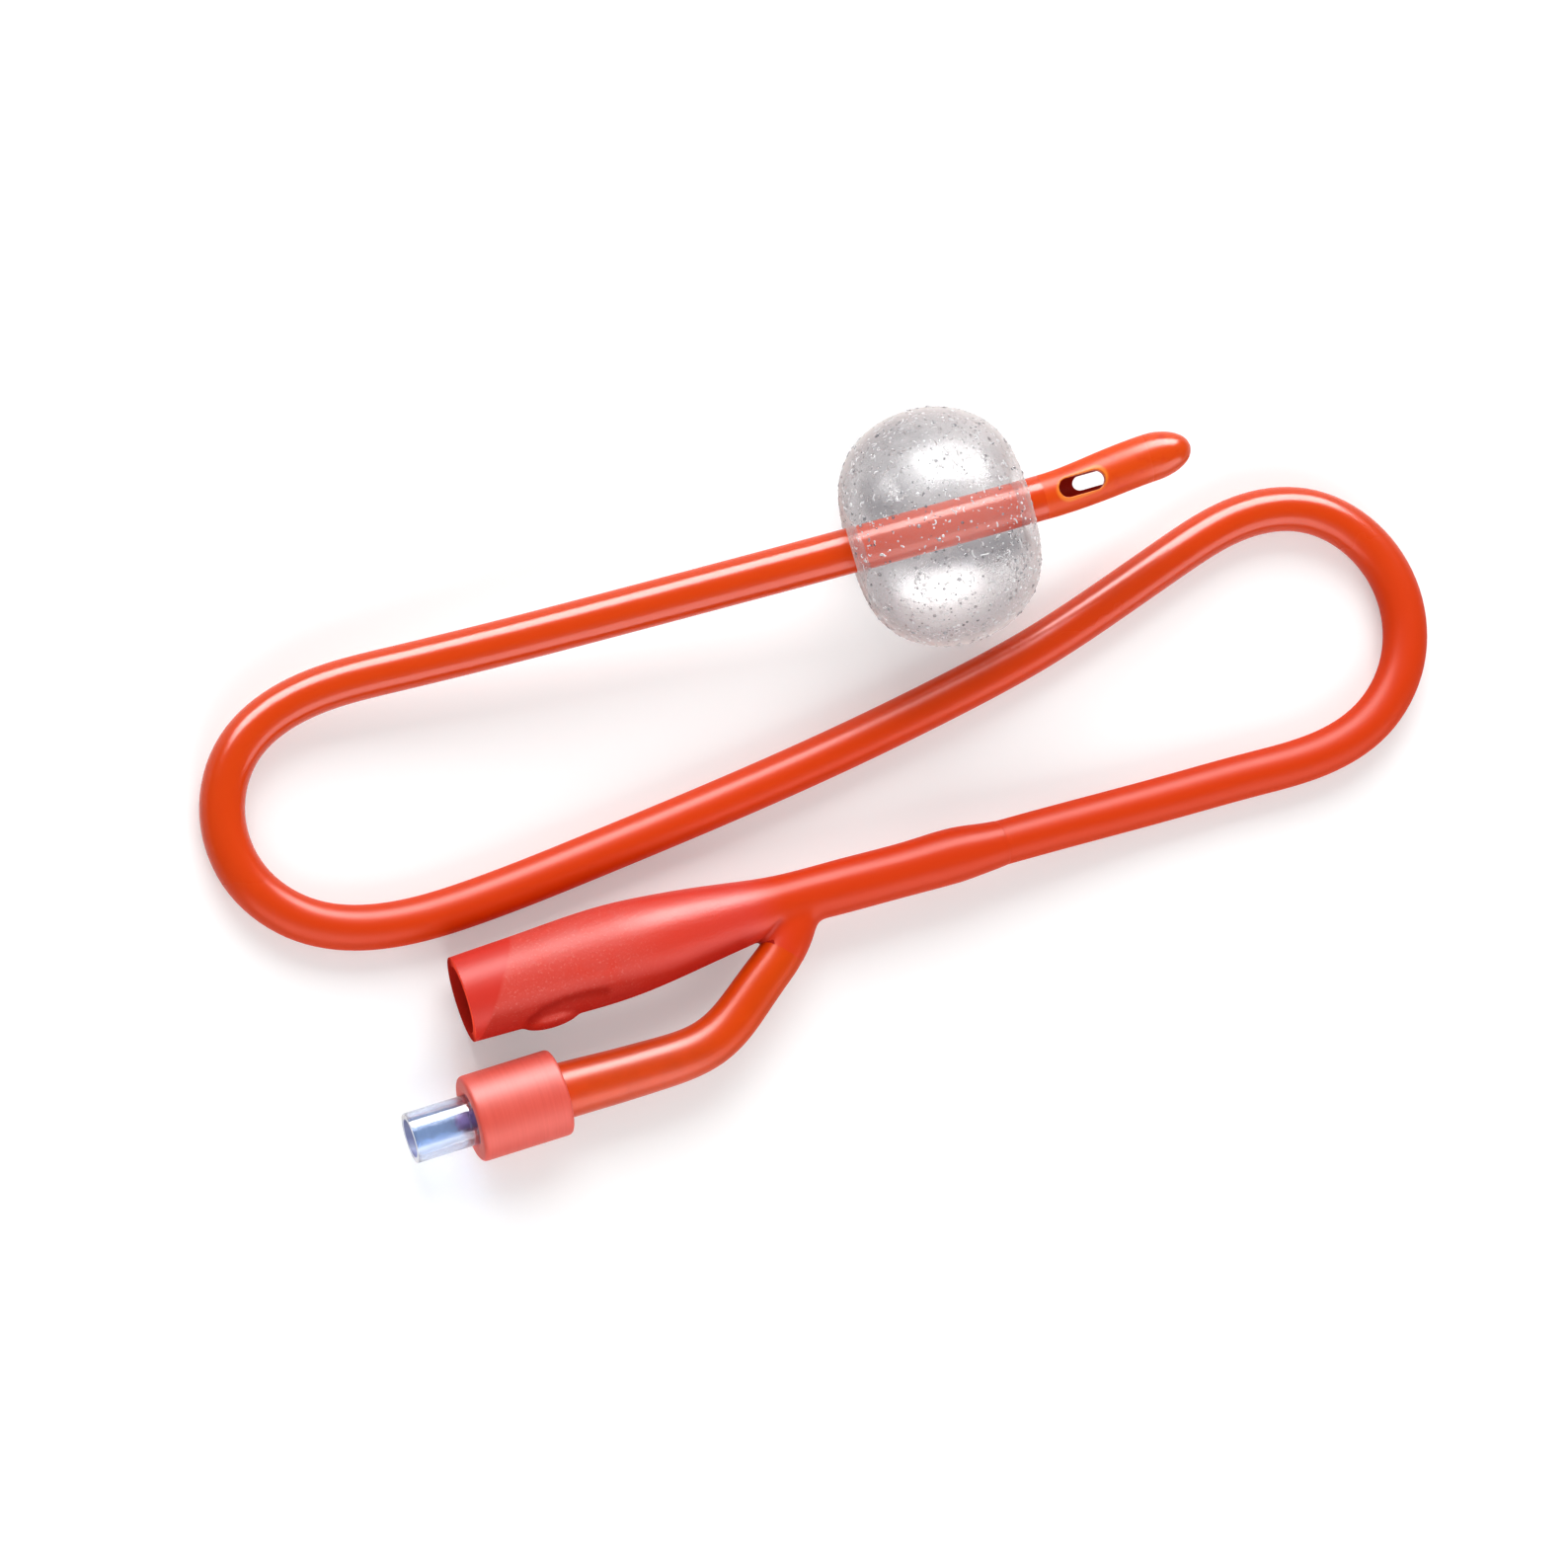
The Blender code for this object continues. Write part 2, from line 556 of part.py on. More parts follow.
def build_seal(parts, black):
    start = valve_depths()["seal"]
    inner = PLUNGER_HUB_RADIUS + GAP
    outer = CHAMBER_RADIUS - GAP
    outline = [
        (inner, start + SEAL_THICKNESS), (outer, start + SEAL_THICKNESS), (outer, start), (inner, start),
    ]
    seal = turned("valve_seal", outline, 24, black, parts)
    place_on_axis(seal, valve_start(), (1, 0, 0))
    return seal


def build_spring(parts, steel):
    """A short compression spring: a helix of round wire between the plunger's head and the retainer."""
    start = valve_start()
    first = valve_depths()["spring"] + SPRING_WIRE_RADIUS
    rise = SPRING_LENGTH - 2 * SPRING_WIRE_RADIUS
    count = round(SPRING_TURNS * 12)
    path = []
    for i in range(count + 1):
        turn = 2 * math.pi * SPRING_TURNS * i / count
        path.append((start.x + first + rise * i / count,
                     start.y + SPRING_COIL_RADIUS * math.cos(turn),
                     start.z + SPRING_COIL_RADIUS * math.sin(turn)))
    return swept("valve_spring", np.array(path), SPRING_WIRE_RADIUS, 6, steel, parts)


def build_retainer(parts, cutters, white):
    """The slotted plug that holds the spring in, with a tail that reaches into the arm's lumen."""
    plate = valve_depths()["retainer"]
    plate_end = valve_depths()["housing_end"]
    tail_end = plate_end + RETAINER_TAIL_LENGTH
    bore = PLUNGER_GUIDE_RADIUS + GAP
    plate_radius = CHAMBER_RADIUS - GAP
    tail_radius = ARM_LUMEN_RADIUS - GAP
    outline = [
        (bore, tail_end), (tail_radius, tail_end), (tail_radius, plate_end), (plate_radius, plate_end),
        (plate_radius, plate), (bore, plate),
    ]
    retainer = turned("spring_retainer", outline, 24, white, parts)
    place_on_axis(retainer, valve_start(), (1, 0, 0))
    reach = plate_radius - bore
    for i in range(RETAINER_SLOTS):
        turn = 2 * math.pi * i / RETAINER_SLOTS
        slot = box(f"flow_slot_{i}", (reach, RETAINER_SLOT_WIDTH, 4 * RETAINER_THICKNESS), cutters)
        slot.parent = retainer
        middle = tail_radius + reach / 2 - 0.1 * MM
        slot.location = (middle * math.cos(turn), middle * math.sin(turn), plate)
        slot.rotation_euler = (0.0, 0.0, turn)
        combine(retainer, slot, "DIFFERENCE")
    return retainer


def balloon_outline():
    """The rubber's middle line from neck to neck: sleeve, tight fold, crown and wide side, mirrored."""
    half_wall = BALLOON_WALL / 2
    sleeve = TUBE_RADIUS + GAP + half_wall
    fold_height = BALLOON_HALF_LENGTH - BALLOON_DIMPLE
    crown_inside = sleeve + 2 * BALLOON_FOLD_RADIUS
    crown = BALLOON_CROWN_RADIUS
    half = [(sleeve, fold_height + BALLOON_NECK_PAST_FOLD)]
    for i in range(4):
        turn = math.pi * i / 3
        half.append((sleeve + BALLOON_FOLD_RADIUS * (1 - math.cos(turn)),
                     fold_height - BALLOON_FOLD_RADIUS * math.sin(turn)))
    for i in range(1, 5):
        turn = math.pi / 2 * (1 - i / 4)
        half.append((crown - (crown - crown_inside) * math.sin(turn),
                     fold_height + (BALLOON_DIMPLE - half_wall) * math.cos(turn)))
    for i in range(1, 9):
        turn = math.pi / 2 * (1 - i / 8)
        half.append((crown + (BALLOON_RADIUS - half_wall - crown) * math.cos(turn),
                     (BALLOON_HALF_LENGTH - half_wall) * math.sin(turn)))
    return half + [(radius, -height) for radius, height in reversed(half[:-1])]


def build_balloon(parts, rubber, path):
    """A thin sleeve bonded at both ends to the tube and the tip, stretched round by the water in it."""
    balloon = turned("retention_balloon", balloon_outline(), 30, rubber, parts)
    open_outline(balloon)
    shell = balloon.modifiers.new("Wall", "SOLIDIFY")
    shell.thickness = BALLOON_WALL
    shell.offset = 0.0
    shell.use_even_offset = True
    end, ahead = tube_end(path)
    place_on_axis(balloon, end - ahead * BALLOON_FROM_TUBE_END, ahead)
    return balloon


def open_outline(obj):
    """Takes away the edge that closes the outline, so that the turned shape is one open surface."""
    work = bmesh.new()
    work.from_mesh(obj.data)
    work.edges.ensure_lookup_table()
    bmesh.ops.delete(work, geom=[work.edges[-1]], context="EDGES")
    work.to_mesh(obj.data)
    work.free()


def tip_path(path):
    """The tip's axis: it sets a little to one side as it leaves the tube, and ends in a long dome."""
    end, ahead = tube_end(path)
    start = end + ahead * GAP
    across = Vector((0.0, 0.0, 1.0)).cross(ahead).normalized()
    straight = TIP_LENGTH - TIP_DOME_LENGTH
    places = [i * straight / 7 for i in range(7)]
    places += [TIP_LENGTH - TIP_DOME_LENGTH * math.cos(i * math.pi / 18) for i in range(9)]
    places.append(TIP_LENGTH - 0.02 * TIP_DOME_LENGTH)
    stations = []
    for s in places:
        into = max(0.0, (s - straight) / TIP_DOME_LENGTH)
        stout = TIP_JOINT_RADIUS + (TIP_RADIUS - TIP_JOINT_RADIUS) * eased(s / TIP_SWELL_LENGTH)
        place = start + ahead * s + across * TIP_SET * eased(s / TIP_SET_LENGTH)
        stations.append((*place, stout * math.sqrt(1 - into * into)))
    return np.array(stations)


def build_tip(parts, cutters, latex, path):
    """The rounded end, solid past the drainage eyes, which break into the lumen from both faces."""
    outside = tip_path(path)
    tip = swept("drainage_tip", outside, 0, 24, latex, parts)
    end, ahead = tube_end(path)
    across = Vector((0.0, 0.0, 1.0)).cross(ahead).normalized()
    up = ahead.cross(across)
    facing = Matrix((ahead, across, up)).transposed().to_quaternion()
    far_middle = NEAR_EYE_FROM_JOINT + EYE_STAGGER
    lumen_end = far_middle + EYE_LENGTH / 2 - FAR_EYE_WIDTH / 4
    start = end + ahead * GAP
    side = -across * DRAIN_LUMEN_SIDE
    lumen_places = [-DRAIN_LUMEN_RADIUS] + [i * lumen_end / 6 for i in range(7)]
    lumen_path = np.array([start + ahead * s + side * (1 - eased(s / TIP_SET_LENGTH))
                           + across * TIP_SET * eased(s / TIP_SET_LENGTH) for s in lumen_places])
    lumen = swept("tip_lumen", lumen_path, DRAIN_LUMEN_RADIUS, 12, None, cutters)
    combine(tip, lumen, "DIFFERENCE")
    depth = 2 * TIP_RADIUS + EYE_PAST_AXIS
    for name, middle, direction, width in (("near_eye", NEAR_EYE_FROM_JOINT, 1, NEAR_EYE_WIDTH),
                                           ("far_eye", far_middle, -1, FAR_EYE_WIDTH)):
        eye = box(name, (EYE_LENGTH, width, depth), cutters, bevel=0.495 * width)
        eye.rotation_mode = "QUATERNION"
        eye.rotation_quaternion = facing
        aside = across * TIP_SET * eased(middle / TIP_SET_LENGTH)
        eye.location = start + ahead * middle + aside + up * direction * (depth / 2 - EYE_PAST_AXIS)
        combine(tip, eye, "DIFFERENCE")
    return tip


def main():
    clear_scene()
    parts = new_collection("Balloon_catheter")
    cutters = new_collection("Cutters", hidden=True)
    latex = finish("Glossy_latex", LATEX, 0.18)
    satin = finish("Satin_latex", SATIN_LATEX, 0.42)
    coral = finish("Coral_rubber", CUFF_CORAL, 0.5)
    clear = finish("Clear_plastic", CLEAR_PLASTIC, 0.06, transmission=0.9)
    rubber = finish("Balloon_rubber", BALLOON_RUBBER, 0.15, transmission=0.6)
    white = finish("White_plastic", WHITE_PLASTIC, 0.35)
    black = finish("Seal_rubber", SEAL_RUBBER, 0.6)
    steel = finish("Spring_steel", SPRING_STEEL, 0.3, metallic=1.0)

    path = tube_path()
    build_tube(parts, cutters, latex, path)
    build_tip(parts, cutters, latex, path)
    build_balloon(parts, rubber, path)
    build_body(parts, cutters, satin)
    build_arm(parts, cutters, latex)
    build_cuff(parts, coral)
    build_housing(parts, clear)
    build_plunger(parts, cutters, white)
    build_seal(parts, black)
    build_spring(parts, steel)
    build_retainer(parts, cutters, white)


main()
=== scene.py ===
"""Looks of a two-way balloon urinary catheter, lying in an S on a white table under soft studio light.

Everything is in metres, in the object's own frame: +X from the funnel's mouth along the tube, +Z up.
"""

import math
import random

import bmesh
import bpy
import numpy as np
from mathutils import Matrix, Vector


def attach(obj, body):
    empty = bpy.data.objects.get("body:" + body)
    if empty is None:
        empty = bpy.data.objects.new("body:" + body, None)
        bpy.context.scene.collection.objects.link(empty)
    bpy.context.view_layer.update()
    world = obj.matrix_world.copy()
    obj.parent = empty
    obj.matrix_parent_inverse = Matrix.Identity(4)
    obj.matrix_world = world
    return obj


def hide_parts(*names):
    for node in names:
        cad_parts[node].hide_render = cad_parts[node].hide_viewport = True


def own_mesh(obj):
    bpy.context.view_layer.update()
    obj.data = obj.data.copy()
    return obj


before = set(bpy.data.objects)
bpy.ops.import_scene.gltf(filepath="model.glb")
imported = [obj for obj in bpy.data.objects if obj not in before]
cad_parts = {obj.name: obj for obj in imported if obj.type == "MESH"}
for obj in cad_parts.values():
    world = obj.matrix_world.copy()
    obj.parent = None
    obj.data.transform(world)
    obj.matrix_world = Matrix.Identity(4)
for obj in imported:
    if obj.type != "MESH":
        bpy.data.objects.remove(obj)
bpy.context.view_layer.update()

MM = 0.001
scene = bpy.context.scene
scene.view_settings.view_transform = "Standard"

# Camera
# The photograph looks down on the table, 14 degrees off the vertical, and is turned so that the tube climbs
# to the right by 17 degrees. Its scale is 8.65 pixels a millimetre.
PHOTO_PIXELS = 1588
PIXELS_PER_METRE = 8650
CAMERA_TILT = math.radians(14)
CAMERA_ROLL = math.radians(17)
CAMERA_DISTANCE = 0.9
LOOK_AT = Vector((-7.75, -2.9, 5.2)) * MM

camera_data = bpy.data.cameras.new("photo_camera")
camera_data.sensor_width = 36
camera_data.lens = PIXELS_PER_METRE * CAMERA_DISTANCE * camera_data.sensor_width / PHOTO_PIXELS
camera_data.clip_end = 20
camera = bpy.data.objects.new("photo_camera", camera_data)
scene.collection.objects.link(camera)
scene.camera = camera
along_tube = Vector((math.cos(CAMERA_TILT), 0, math.sin(CAMERA_TILT)))
across_tube = Vector((0, 1, 0))
to_camera = Vector((-math.sin(CAMERA_TILT), 0, math.cos(CAMERA_TILT)))
camera_right = math.cos(CAMERA_ROLL) * along_tube - math.sin(CAMERA_ROLL) * across_tube
camera_up = math.sin(CAMERA_ROLL) * along_tube + math.cos(CAMERA_ROLL) * across_tube
camera.matrix_world = Matrix.Translation(LOOK_AT + to_camera * CAMERA_DISTANCE) @ Matrix(
    (camera_right, camera_up, to_camera)
).transposed().to_4x4()

# Soft tube
# The dipped tube is a limp cord of real length: from the funnel body's nose, in an S, to the tip's joint.
# Its even orange latex is shared by the tip and, a little lighter, by the arm.
TUBE_RADIUS = 2.665 * MM
TUBE_ROUTE = [
    (14.9, -17.0, 5.1), (20.0, -17.15, 4.6), (28.0, -17.45, 3.6), (38.0, -17.8, 2.85), (48.0, -18.1, 2.72),
    (56.5, -18.2, 2.72), (64.3, -16.2, 2.72), (70.1, -10.9, 2.72), (72.3, -3.3, 2.72), (70.2, 4.5, 2.72),
    (64.3, 10.1, 2.72), (56.5, 11.6, 2.72), (47.0, 9.6, 2.72), (37.0, 6.5, 2.72), (27.0, 3.7, 2.72),
    (16.0, 1.5, 2.72), (2.0, -0.7, 2.72), (-14.0, -2.65, 2.72), (-32.0, -4.4, 2.72), (-47.0, -5.5, 2.72),
    (-57.5, -5.1, 2.72), (-66.2, -1.9, 2.72), (-71.6, 4.8, 2.8), (-72.1, 12.8, 3.05), (-68.0, 19.5, 3.6),
    (-60.0, 22.9, 4.5), (-49.0, 23.05, 5.75), (-36.0, 22.35, 7.3), (-22.0, 21.8, 9.0), (-8.0, 21.32, 10.75),
    (0.0, 21.06, 11.8), (8.0, 20.82, 12.85), (16.0, 20.6, 13.9), (23.0, 20.44, 14.8), (29.5, 20.32, 15.62),
]
ORANGE = (0.66, 0.04, 0.0006)
GLOSSY_ORANGE = (0.68, 0.05, 0.0006)


def metres(points):
    return [tuple(value * MM for value in point) for point in points]


def smooth_curve(points, step):
    """Samples, a step apart, of the natural cubic spline through the points. Extra columns ride along."""
    knots = np.array(points, float)
    reach = np.linalg.norm(np.diff(knots[:, :3], axis=0), axis=1)
    at = np.concatenate([[0.0], np.cumsum(reach)])
    count = len(knots)
    balance = np.eye(count)
    pull = np.zeros_like(knots)
    for i in range(1, count - 1):
        balance[i, i - 1:i + 2] = reach[i - 1], 2 * (reach[i - 1] + reach[i]), reach[i]
        pull[i] = 6 * ((knots[i + 1] - knots[i]) / reach[i] - (knots[i] - knots[i - 1]) / reach[i - 1])
    bend = np.linalg.solve(balance, pull)
    samples = []
    for s in np.linspace(0.0, at[-1], max(2, round(at[-1] / step) + 1)):
        i = min(int(np.searchsorted(at, s, side="right")) - 1, count - 2)
        width = reach[i]
        a = (at[i + 1] - s) / width
        b = 1 - a
        curved = ((a**3 - a) * bend[i] + (b**3 - b) * bend[i + 1]) * width**2 / 6
        samples.append(a * knots[i] + b * knots[i + 1] + curved)
    return np.array(samples)


def tangents(path):
    found = np.gradient(path[:, :3], axis=0)
    return found / np.linalg.norm(found, axis=1)[:, None]


def add_object(name, mesh):
    obj = bpy.data.objects.new(name, mesh)
    scene.collection.objects.link(obj)
    return obj


def swept(name, path, sides, radius=None):
    """A round bar along the path as a mesh. Without a radius, the path's fourth column gives it."""
    radii = path[:, 3] if radius is None else np.full(len(path), radius)
    largest = float(radii.max())
    curve = bpy.data.curves.new(name, "CURVE")
    curve.dimensions = "3D"
    curve.twist_mode = "Z_UP"
    curve.bevel_depth = largest
    curve.bevel_resolution = (sides - 4) // 2
    curve.use_fill_caps = True
    spline = curve.splines.new("POLY")
    spline.points.add(len(path) - 1)
    for point, place, size in zip(spline.points, path, radii):
        point.co = (*place[:3], 1.0)
        point.radius = size / largest
    guide = add_object(name + "_guide", curve)
    bpy.context.view_layer.update()
    mesh = bpy.data.meshes.new_from_object(guide.evaluated_get(bpy.context.evaluated_depsgraph_get()))
    bpy.data.objects.remove(guide)
    work = bmesh.new()
    work.from_mesh(mesh)
    bmesh.ops.remove_doubles(work, verts=work.verts, dist=1e-6)
    bmesh.ops.recalc_face_normals(work, faces=work.faces)
    work.to_mesh(mesh)
    work.free()
    return add_object(name, mesh)


tube_path = smooth_curve(metres(TUBE_ROUTE), step=1.0 * MM)
tube_end = Vector(tube_path[-1])
tube_ahead = Vector(tangents(tube_path)[-1])
soft_tube = swept("soft_tube", tube_path, sides=40, radius=TUBE_RADIUS)


class Value:
    """A shader node's output that takes part in formulas with + - * / and **."""

    def __init__(self, tree, socket):
        self.tree = tree
        self.socket = socket

    def calculate(self, operation, first, second, clamp=False):
        node = self.tree.nodes.new("ShaderNodeMath")
        node.operation = operation
        node.use_clamp = clamp
        plug(self.tree, node.inputs[0], first)
        plug(self.tree, node.inputs[1], second)
        return Value(self.tree, node.outputs[0])

    def __add__(self, other):
        return self.calculate("ADD", self, other)

    def __radd__(self, other):
        return self.calculate("ADD", other, self)

    def __sub__(self, other):
        return self.calculate("SUBTRACT", self, other)

    def __rsub__(self, other):
        return self.calculate("SUBTRACT", other, self)

    def __mul__(self, other):
        return self.calculate("MULTIPLY", self, other)

    def __rmul__(self, other):
        return self.calculate("MULTIPLY", other, self)

    def __truediv__(self, other):
        return self.calculate("DIVIDE", self, other)

    def __pow__(self, other):
        return self.calculate("POWER", self, other)

    def clamped(self):
        return self.calculate("ADD", self, 0.0, clamp=True)

    def fade(self, start, end):
        """0 before start and 1 after end, with a soft run between them."""
        node = self.tree.nodes.new("ShaderNodeMapRange")
        node.interpolation_type = "SMOOTHSTEP"
        plug(self.tree, node.inputs["Value"], self)
        plug(self.tree, node.inputs["From Min"], start)
        plug(self.tree, node.inputs["From Max"], end)
        return Value(self.tree, node.outputs["Result"])


def plug(tree, socket, value):
    if isinstance(value, Value):
        tree.links.new(value.socket, socket)
    elif socket.type == "RGBA":
        socket.default_value = (*value[:3], 1.0)
    else:
        socket.default_value = value


class Paint:
    """A node material round one Principled shader."""

    def __init__(self, name, **constants):
        self.material = bpy.data.materials.new(name)
        self.material.use_nodes = True
        self.tree = self.material.node_tree
        self.shader = self.tree.nodes["Principled BSDF"]
        self.surface = self.shader
        self.set(**constants)

    def set(self, **values):
        for name, value in values.items():
            plug(self.tree, self.shader.inputs[name.replace("_", " ")], value)

    def node(self, kind, output, settings=None, **sockets):
        made = self.tree.nodes.new(kind)
        for name, value in (settings or {}).items():
            setattr(made, name, value)
        for name, value in sockets.items():
            plug(self.tree, made.inputs[name.replace("_", " ")], value)
        return Value(self.tree, made.outputs[output])

    def place(self):
        return self.node("ShaderNodeTexCoord", "Object")

    def axis(self, name):
        return self.node("ShaderNodeSeparateXYZ", name, Vector=self.place())

    def noise(self, size, detail=2.0, roughness=0.5, stretch=(1, 1, 1)):
        """Noise with features about size metres across, stretched along each axis."""
        scaled = self.node("ShaderNodeMapping", "Vector", Vector=self.place(),
                           Scale=tuple(1 / (size * share) for share in stretch))
        return self.node("ShaderNodeTexNoise", "Fac", Vector=scaled, Scale=1.0, Detail=detail,
                         Roughness=roughness)

    def mask(self, name):
        """A number stored at each point of the mesh."""
        return self.node("ShaderNodeAttribute", "Fac", {"attribute_name": name})

    def mix(self, first, second, share):
        made = self.tree.nodes.new("ShaderNodeMix")
        made.data_type = "RGBA"
        plug(self.tree, made.inputs["Factor"], share)
        plug(self.tree, made.inputs[6], first)
        plug(self.tree, made.inputs[7], second)
        return Value(self.tree, made.outputs[2])

    def blend(self, share, **values):
        """Mixes in a second Principled shader, by the share."""
        second = self.tree.nodes.new("ShaderNodeBsdfPrincipled")
        for name, value in values.items():
            plug(self.tree, second.inputs[name.replace("_", " ")], value)
        both = self.tree.nodes.new("ShaderNodeMixShader")
        plug(self.tree, both.inputs[0], share)
        self.tree.links.new(self.surface.outputs[0], both.inputs[1])
        self.tree.links.new(second.outputs[0], both.inputs[2])
        self.tree.links.new(both.outputs[0], self.tree.nodes["Material Output"].inputs["Surface"])
        self.surface = both

    def bump(self, height, distance, strength):
        return self.node("ShaderNodeBump", "Normal", Height=height, Distance=distance, Strength=strength)


def glossy_latex(name, colour=ORANGE, roughness=0.3):
    """Smooth dipped latex: an even orange with faint cloudiness and long shallow ripples from dipping."""
    paint = Paint(name, Subsurface_Weight=0.1, Subsurface_Scale=0.5 * MM, IOR=1.3)
    paint.shader.inputs["Subsurface Radius"].default_value = (1.0, 0.25, 0.08)
    cloud = paint.noise(6 * MM, detail=3)
    fleck = paint.noise(0.5 * MM, detail=2)
    deeper = tuple(c * 0.86 for c in colour)
    painted_glint_share = paint.mix(deeper, colour, cloud.fade(0.35, 0.62))
    paint.set(Base_Color=painted_glint_share, Roughness=roughness + 0.05 * (fleck - 0.5) + 0.05 * (cloud - 0.5))
    ripple = paint.noise(2.2 * MM, detail=2)
    paint.set(Normal=paint.bump(ripple * 0.8 + fleck * 0.06, 0.03 * MM, 0.5))
    return paint


def dress(obj, material, sharp=math.radians(40)):
    obj.data.materials.clear()
    obj.data.materials.append(material)
    obj.data.shade_smooth()
    obj.data.set_sharp_from_angle(angle=sharp)


tube_paint = glossy_latex("tube_latex")
dull = 1 - tube_paint.axis("Y").fade(-12 * MM, 15 * MM)
tube_tone = tube_paint.mix(GLOSSY_ORANGE, ORANGE, dull)
smear = tube_paint.noise(3 * MM)
tube_paint.set(Base_Color=tube_tone, Roughness=0.21 + 0.2 * dull + 0.06 * (smear - 0.5))
tube_paint.blend(0.6 * dull, Base_Color=tube_tone, Specular_IOR_Level=0.0)
dress(soft_tube, tube_paint.material)
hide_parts("shaft_tube")
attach(soft_tube, "catheter")

# Rounded tip
# A moulded end with a long dome, a little stouter than the tube, and two opposed eyes with soft rims.
GAP = 0.3 * MM
TIP_LENGTH = 18.3 * MM
TIP_RADIUS = 2.83 * MM
TIP_SWELL_LENGTH = 9.0 * MM
TIP_DOME_LENGTH = 5.0 * MM
TIP_SET = 1.1 * MM
TIP_SET_LENGTH = 15.0 * MM
TIP_LUMEN_RADIUS = 1.3 * MM
EYE_LENGTH = 5.6 * MM
NEAR_EYE_WIDTH = 2.3 * MM
FAR_EYE_WIDTH = 1.7 * MM
NEAR_EYE_FROM_JOINT = 4.3 * MM
EYE_STAGGER = 2.3 * MM
EYE_PAST_AXIS = 0.6 * MM
EYE_RIM_SETBACK = 0.1 * MM
EYE_RIM_FADE = 0.26 * MM
EYE_RIM_FROM_AXIS = 2.1 * MM
EYE_INSIDE_FROM_AXIS = 2.05 * MM
EYE_INSIDE_FADE = 0.5 * MM
TIP_STEP = 0.4 * MM
TIP_DOME_STEPS = 30
TIP_GLOSS_FADE = 6 * MM

tip_across = Vector((0, 0, 1)).cross(tube_ahead).normalized()
tip_up = tube_ahead.cross(tip_across)
tip_start = tube_end + tube_ahead * GAP
tip_straight = TIP_LENGTH - TIP_DOME_LENGTH


def eased(share):
    """A share from 0 to 1 with a soft start and a soft stop."""
    share = min(1.0, max(0.0, share))
    return share * share * (3 - 2 * share)


def aside(s):
    """How far the tip has set to one side, a distance s from its joint."""
    return tip_across * TIP_SET * eased(s / TIP_SET_LENGTH)


def tip_station(s):
    """A place on the tip's axis and the radius there, which starts as the tube's own."""
    into = max(0.0, (s - tip_straight) / TIP_DOME_LENGTH)
    radius = TUBE_RADIUS + (TIP_RADIUS - TUBE_RADIUS) * eased(s / TIP_SWELL_LENGTH)
    place = tip_start + tube_ahead * s + aside(s)
    return (*place, radius * math.sqrt(max(0.0, 1 - into * into)))


stations = [-GAP * 1.5 + i * TIP_STEP for i in range(round(tip_straight / TIP_STEP))]
stations += [TIP_LENGTH - TIP_DOME_LENGTH * math.cos(i * math.pi / 2 / TIP_DOME_STEPS)
             for i in range(TIP_DOME_STEPS)]
stations.append(TIP_LENGTH - 0.002 * TIP_DOME_LENGTH)
tip = swept("drainage_end", np.array([tip_station(s) for s in stations]), sides=56)


def apply_modifiers(obj):
    """Keeps what the object's modifiers make as its own mesh."""
    bpy.context.view_layer.update()
    mesh = bpy.data.meshes.new_from_object(obj.evaluated_get(bpy.context.evaluated_depsgraph_get()))
    obj.modifiers.clear()
    old = obj.data
    obj.data = mesh
    bpy.data.meshes.remove(old)


def cut(obj, cutter, operation="DIFFERENCE"):
    boolean = obj.modifiers.new("cut", "BOOLEAN")
    boolean.operation = operation
    boolean.solver = "EXACT"
    boolean.object = cutter
    apply_modifiers(obj)
    bpy.data.objects.remove(cutter)


def melt(obj, voxel, rounds):
    """Joins and softens the mesh: a voxel skin, then plain smoothing."""
    remesh = obj.modifiers.new("skin", "REMESH")
    remesh.mode = "VOXEL"
    remesh.voxel_size = voxel
    smooth = obj.modifiers.new("soften", "SMOOTH")
    smooth.factor = 0.5
    smooth.iterations = rounds
    apply_modifiers(obj)


def object_from(name, work):
    """A new object from the bmesh that was worked on, which is then freed."""
    mesh = bpy.data.meshes.new(name)
    work.to_mesh(mesh)
    work.free()
    return add_object(name, mesh)


def eye_cutter(name, middle, direction, width):
    """A slot with round ends that breaks in from one face and stops just past the middle."""
    reach = (EYE_LENGTH - width) / 2
    slot = bmesh.new()
    outline = []
    for end, first in ((reach, -90), (-reach, 90)):
        for k in range(13):
            angle = math.radians(first + 15 * k)
            corner = (end + width / 2 * math.cos(angle), width / 2 * math.sin(angle), 0)
            outline.append(slot.verts.new(corner))
    face = slot.faces.new(outline)
    lifted = bmesh.ops.extrude_face_region(slot, geom=[face])
    moved = [v for v in lifted["geom"] if isinstance(v, bmesh.types.BMVert)]
    bmesh.ops.translate(slot, verts=moved, vec=(0, 0, 2 * TIP_RADIUS))
    bmesh.ops.recalc_face_normals(slot, faces=slot.faces)
    facing = Matrix((tube_ahead, tip_across, tip_up)).transposed().to_4x4()
    depth = -EYE_PAST_AXIS if direction > 0 else EYE_PAST_AXIS - 2 * TIP_RADIUS
    base = tip_start + tube_ahead * middle + aside(middle) + tip_up * depth
    slot.transform(Matrix.Translation(base) @ facing)
    return object_from(name, slot)


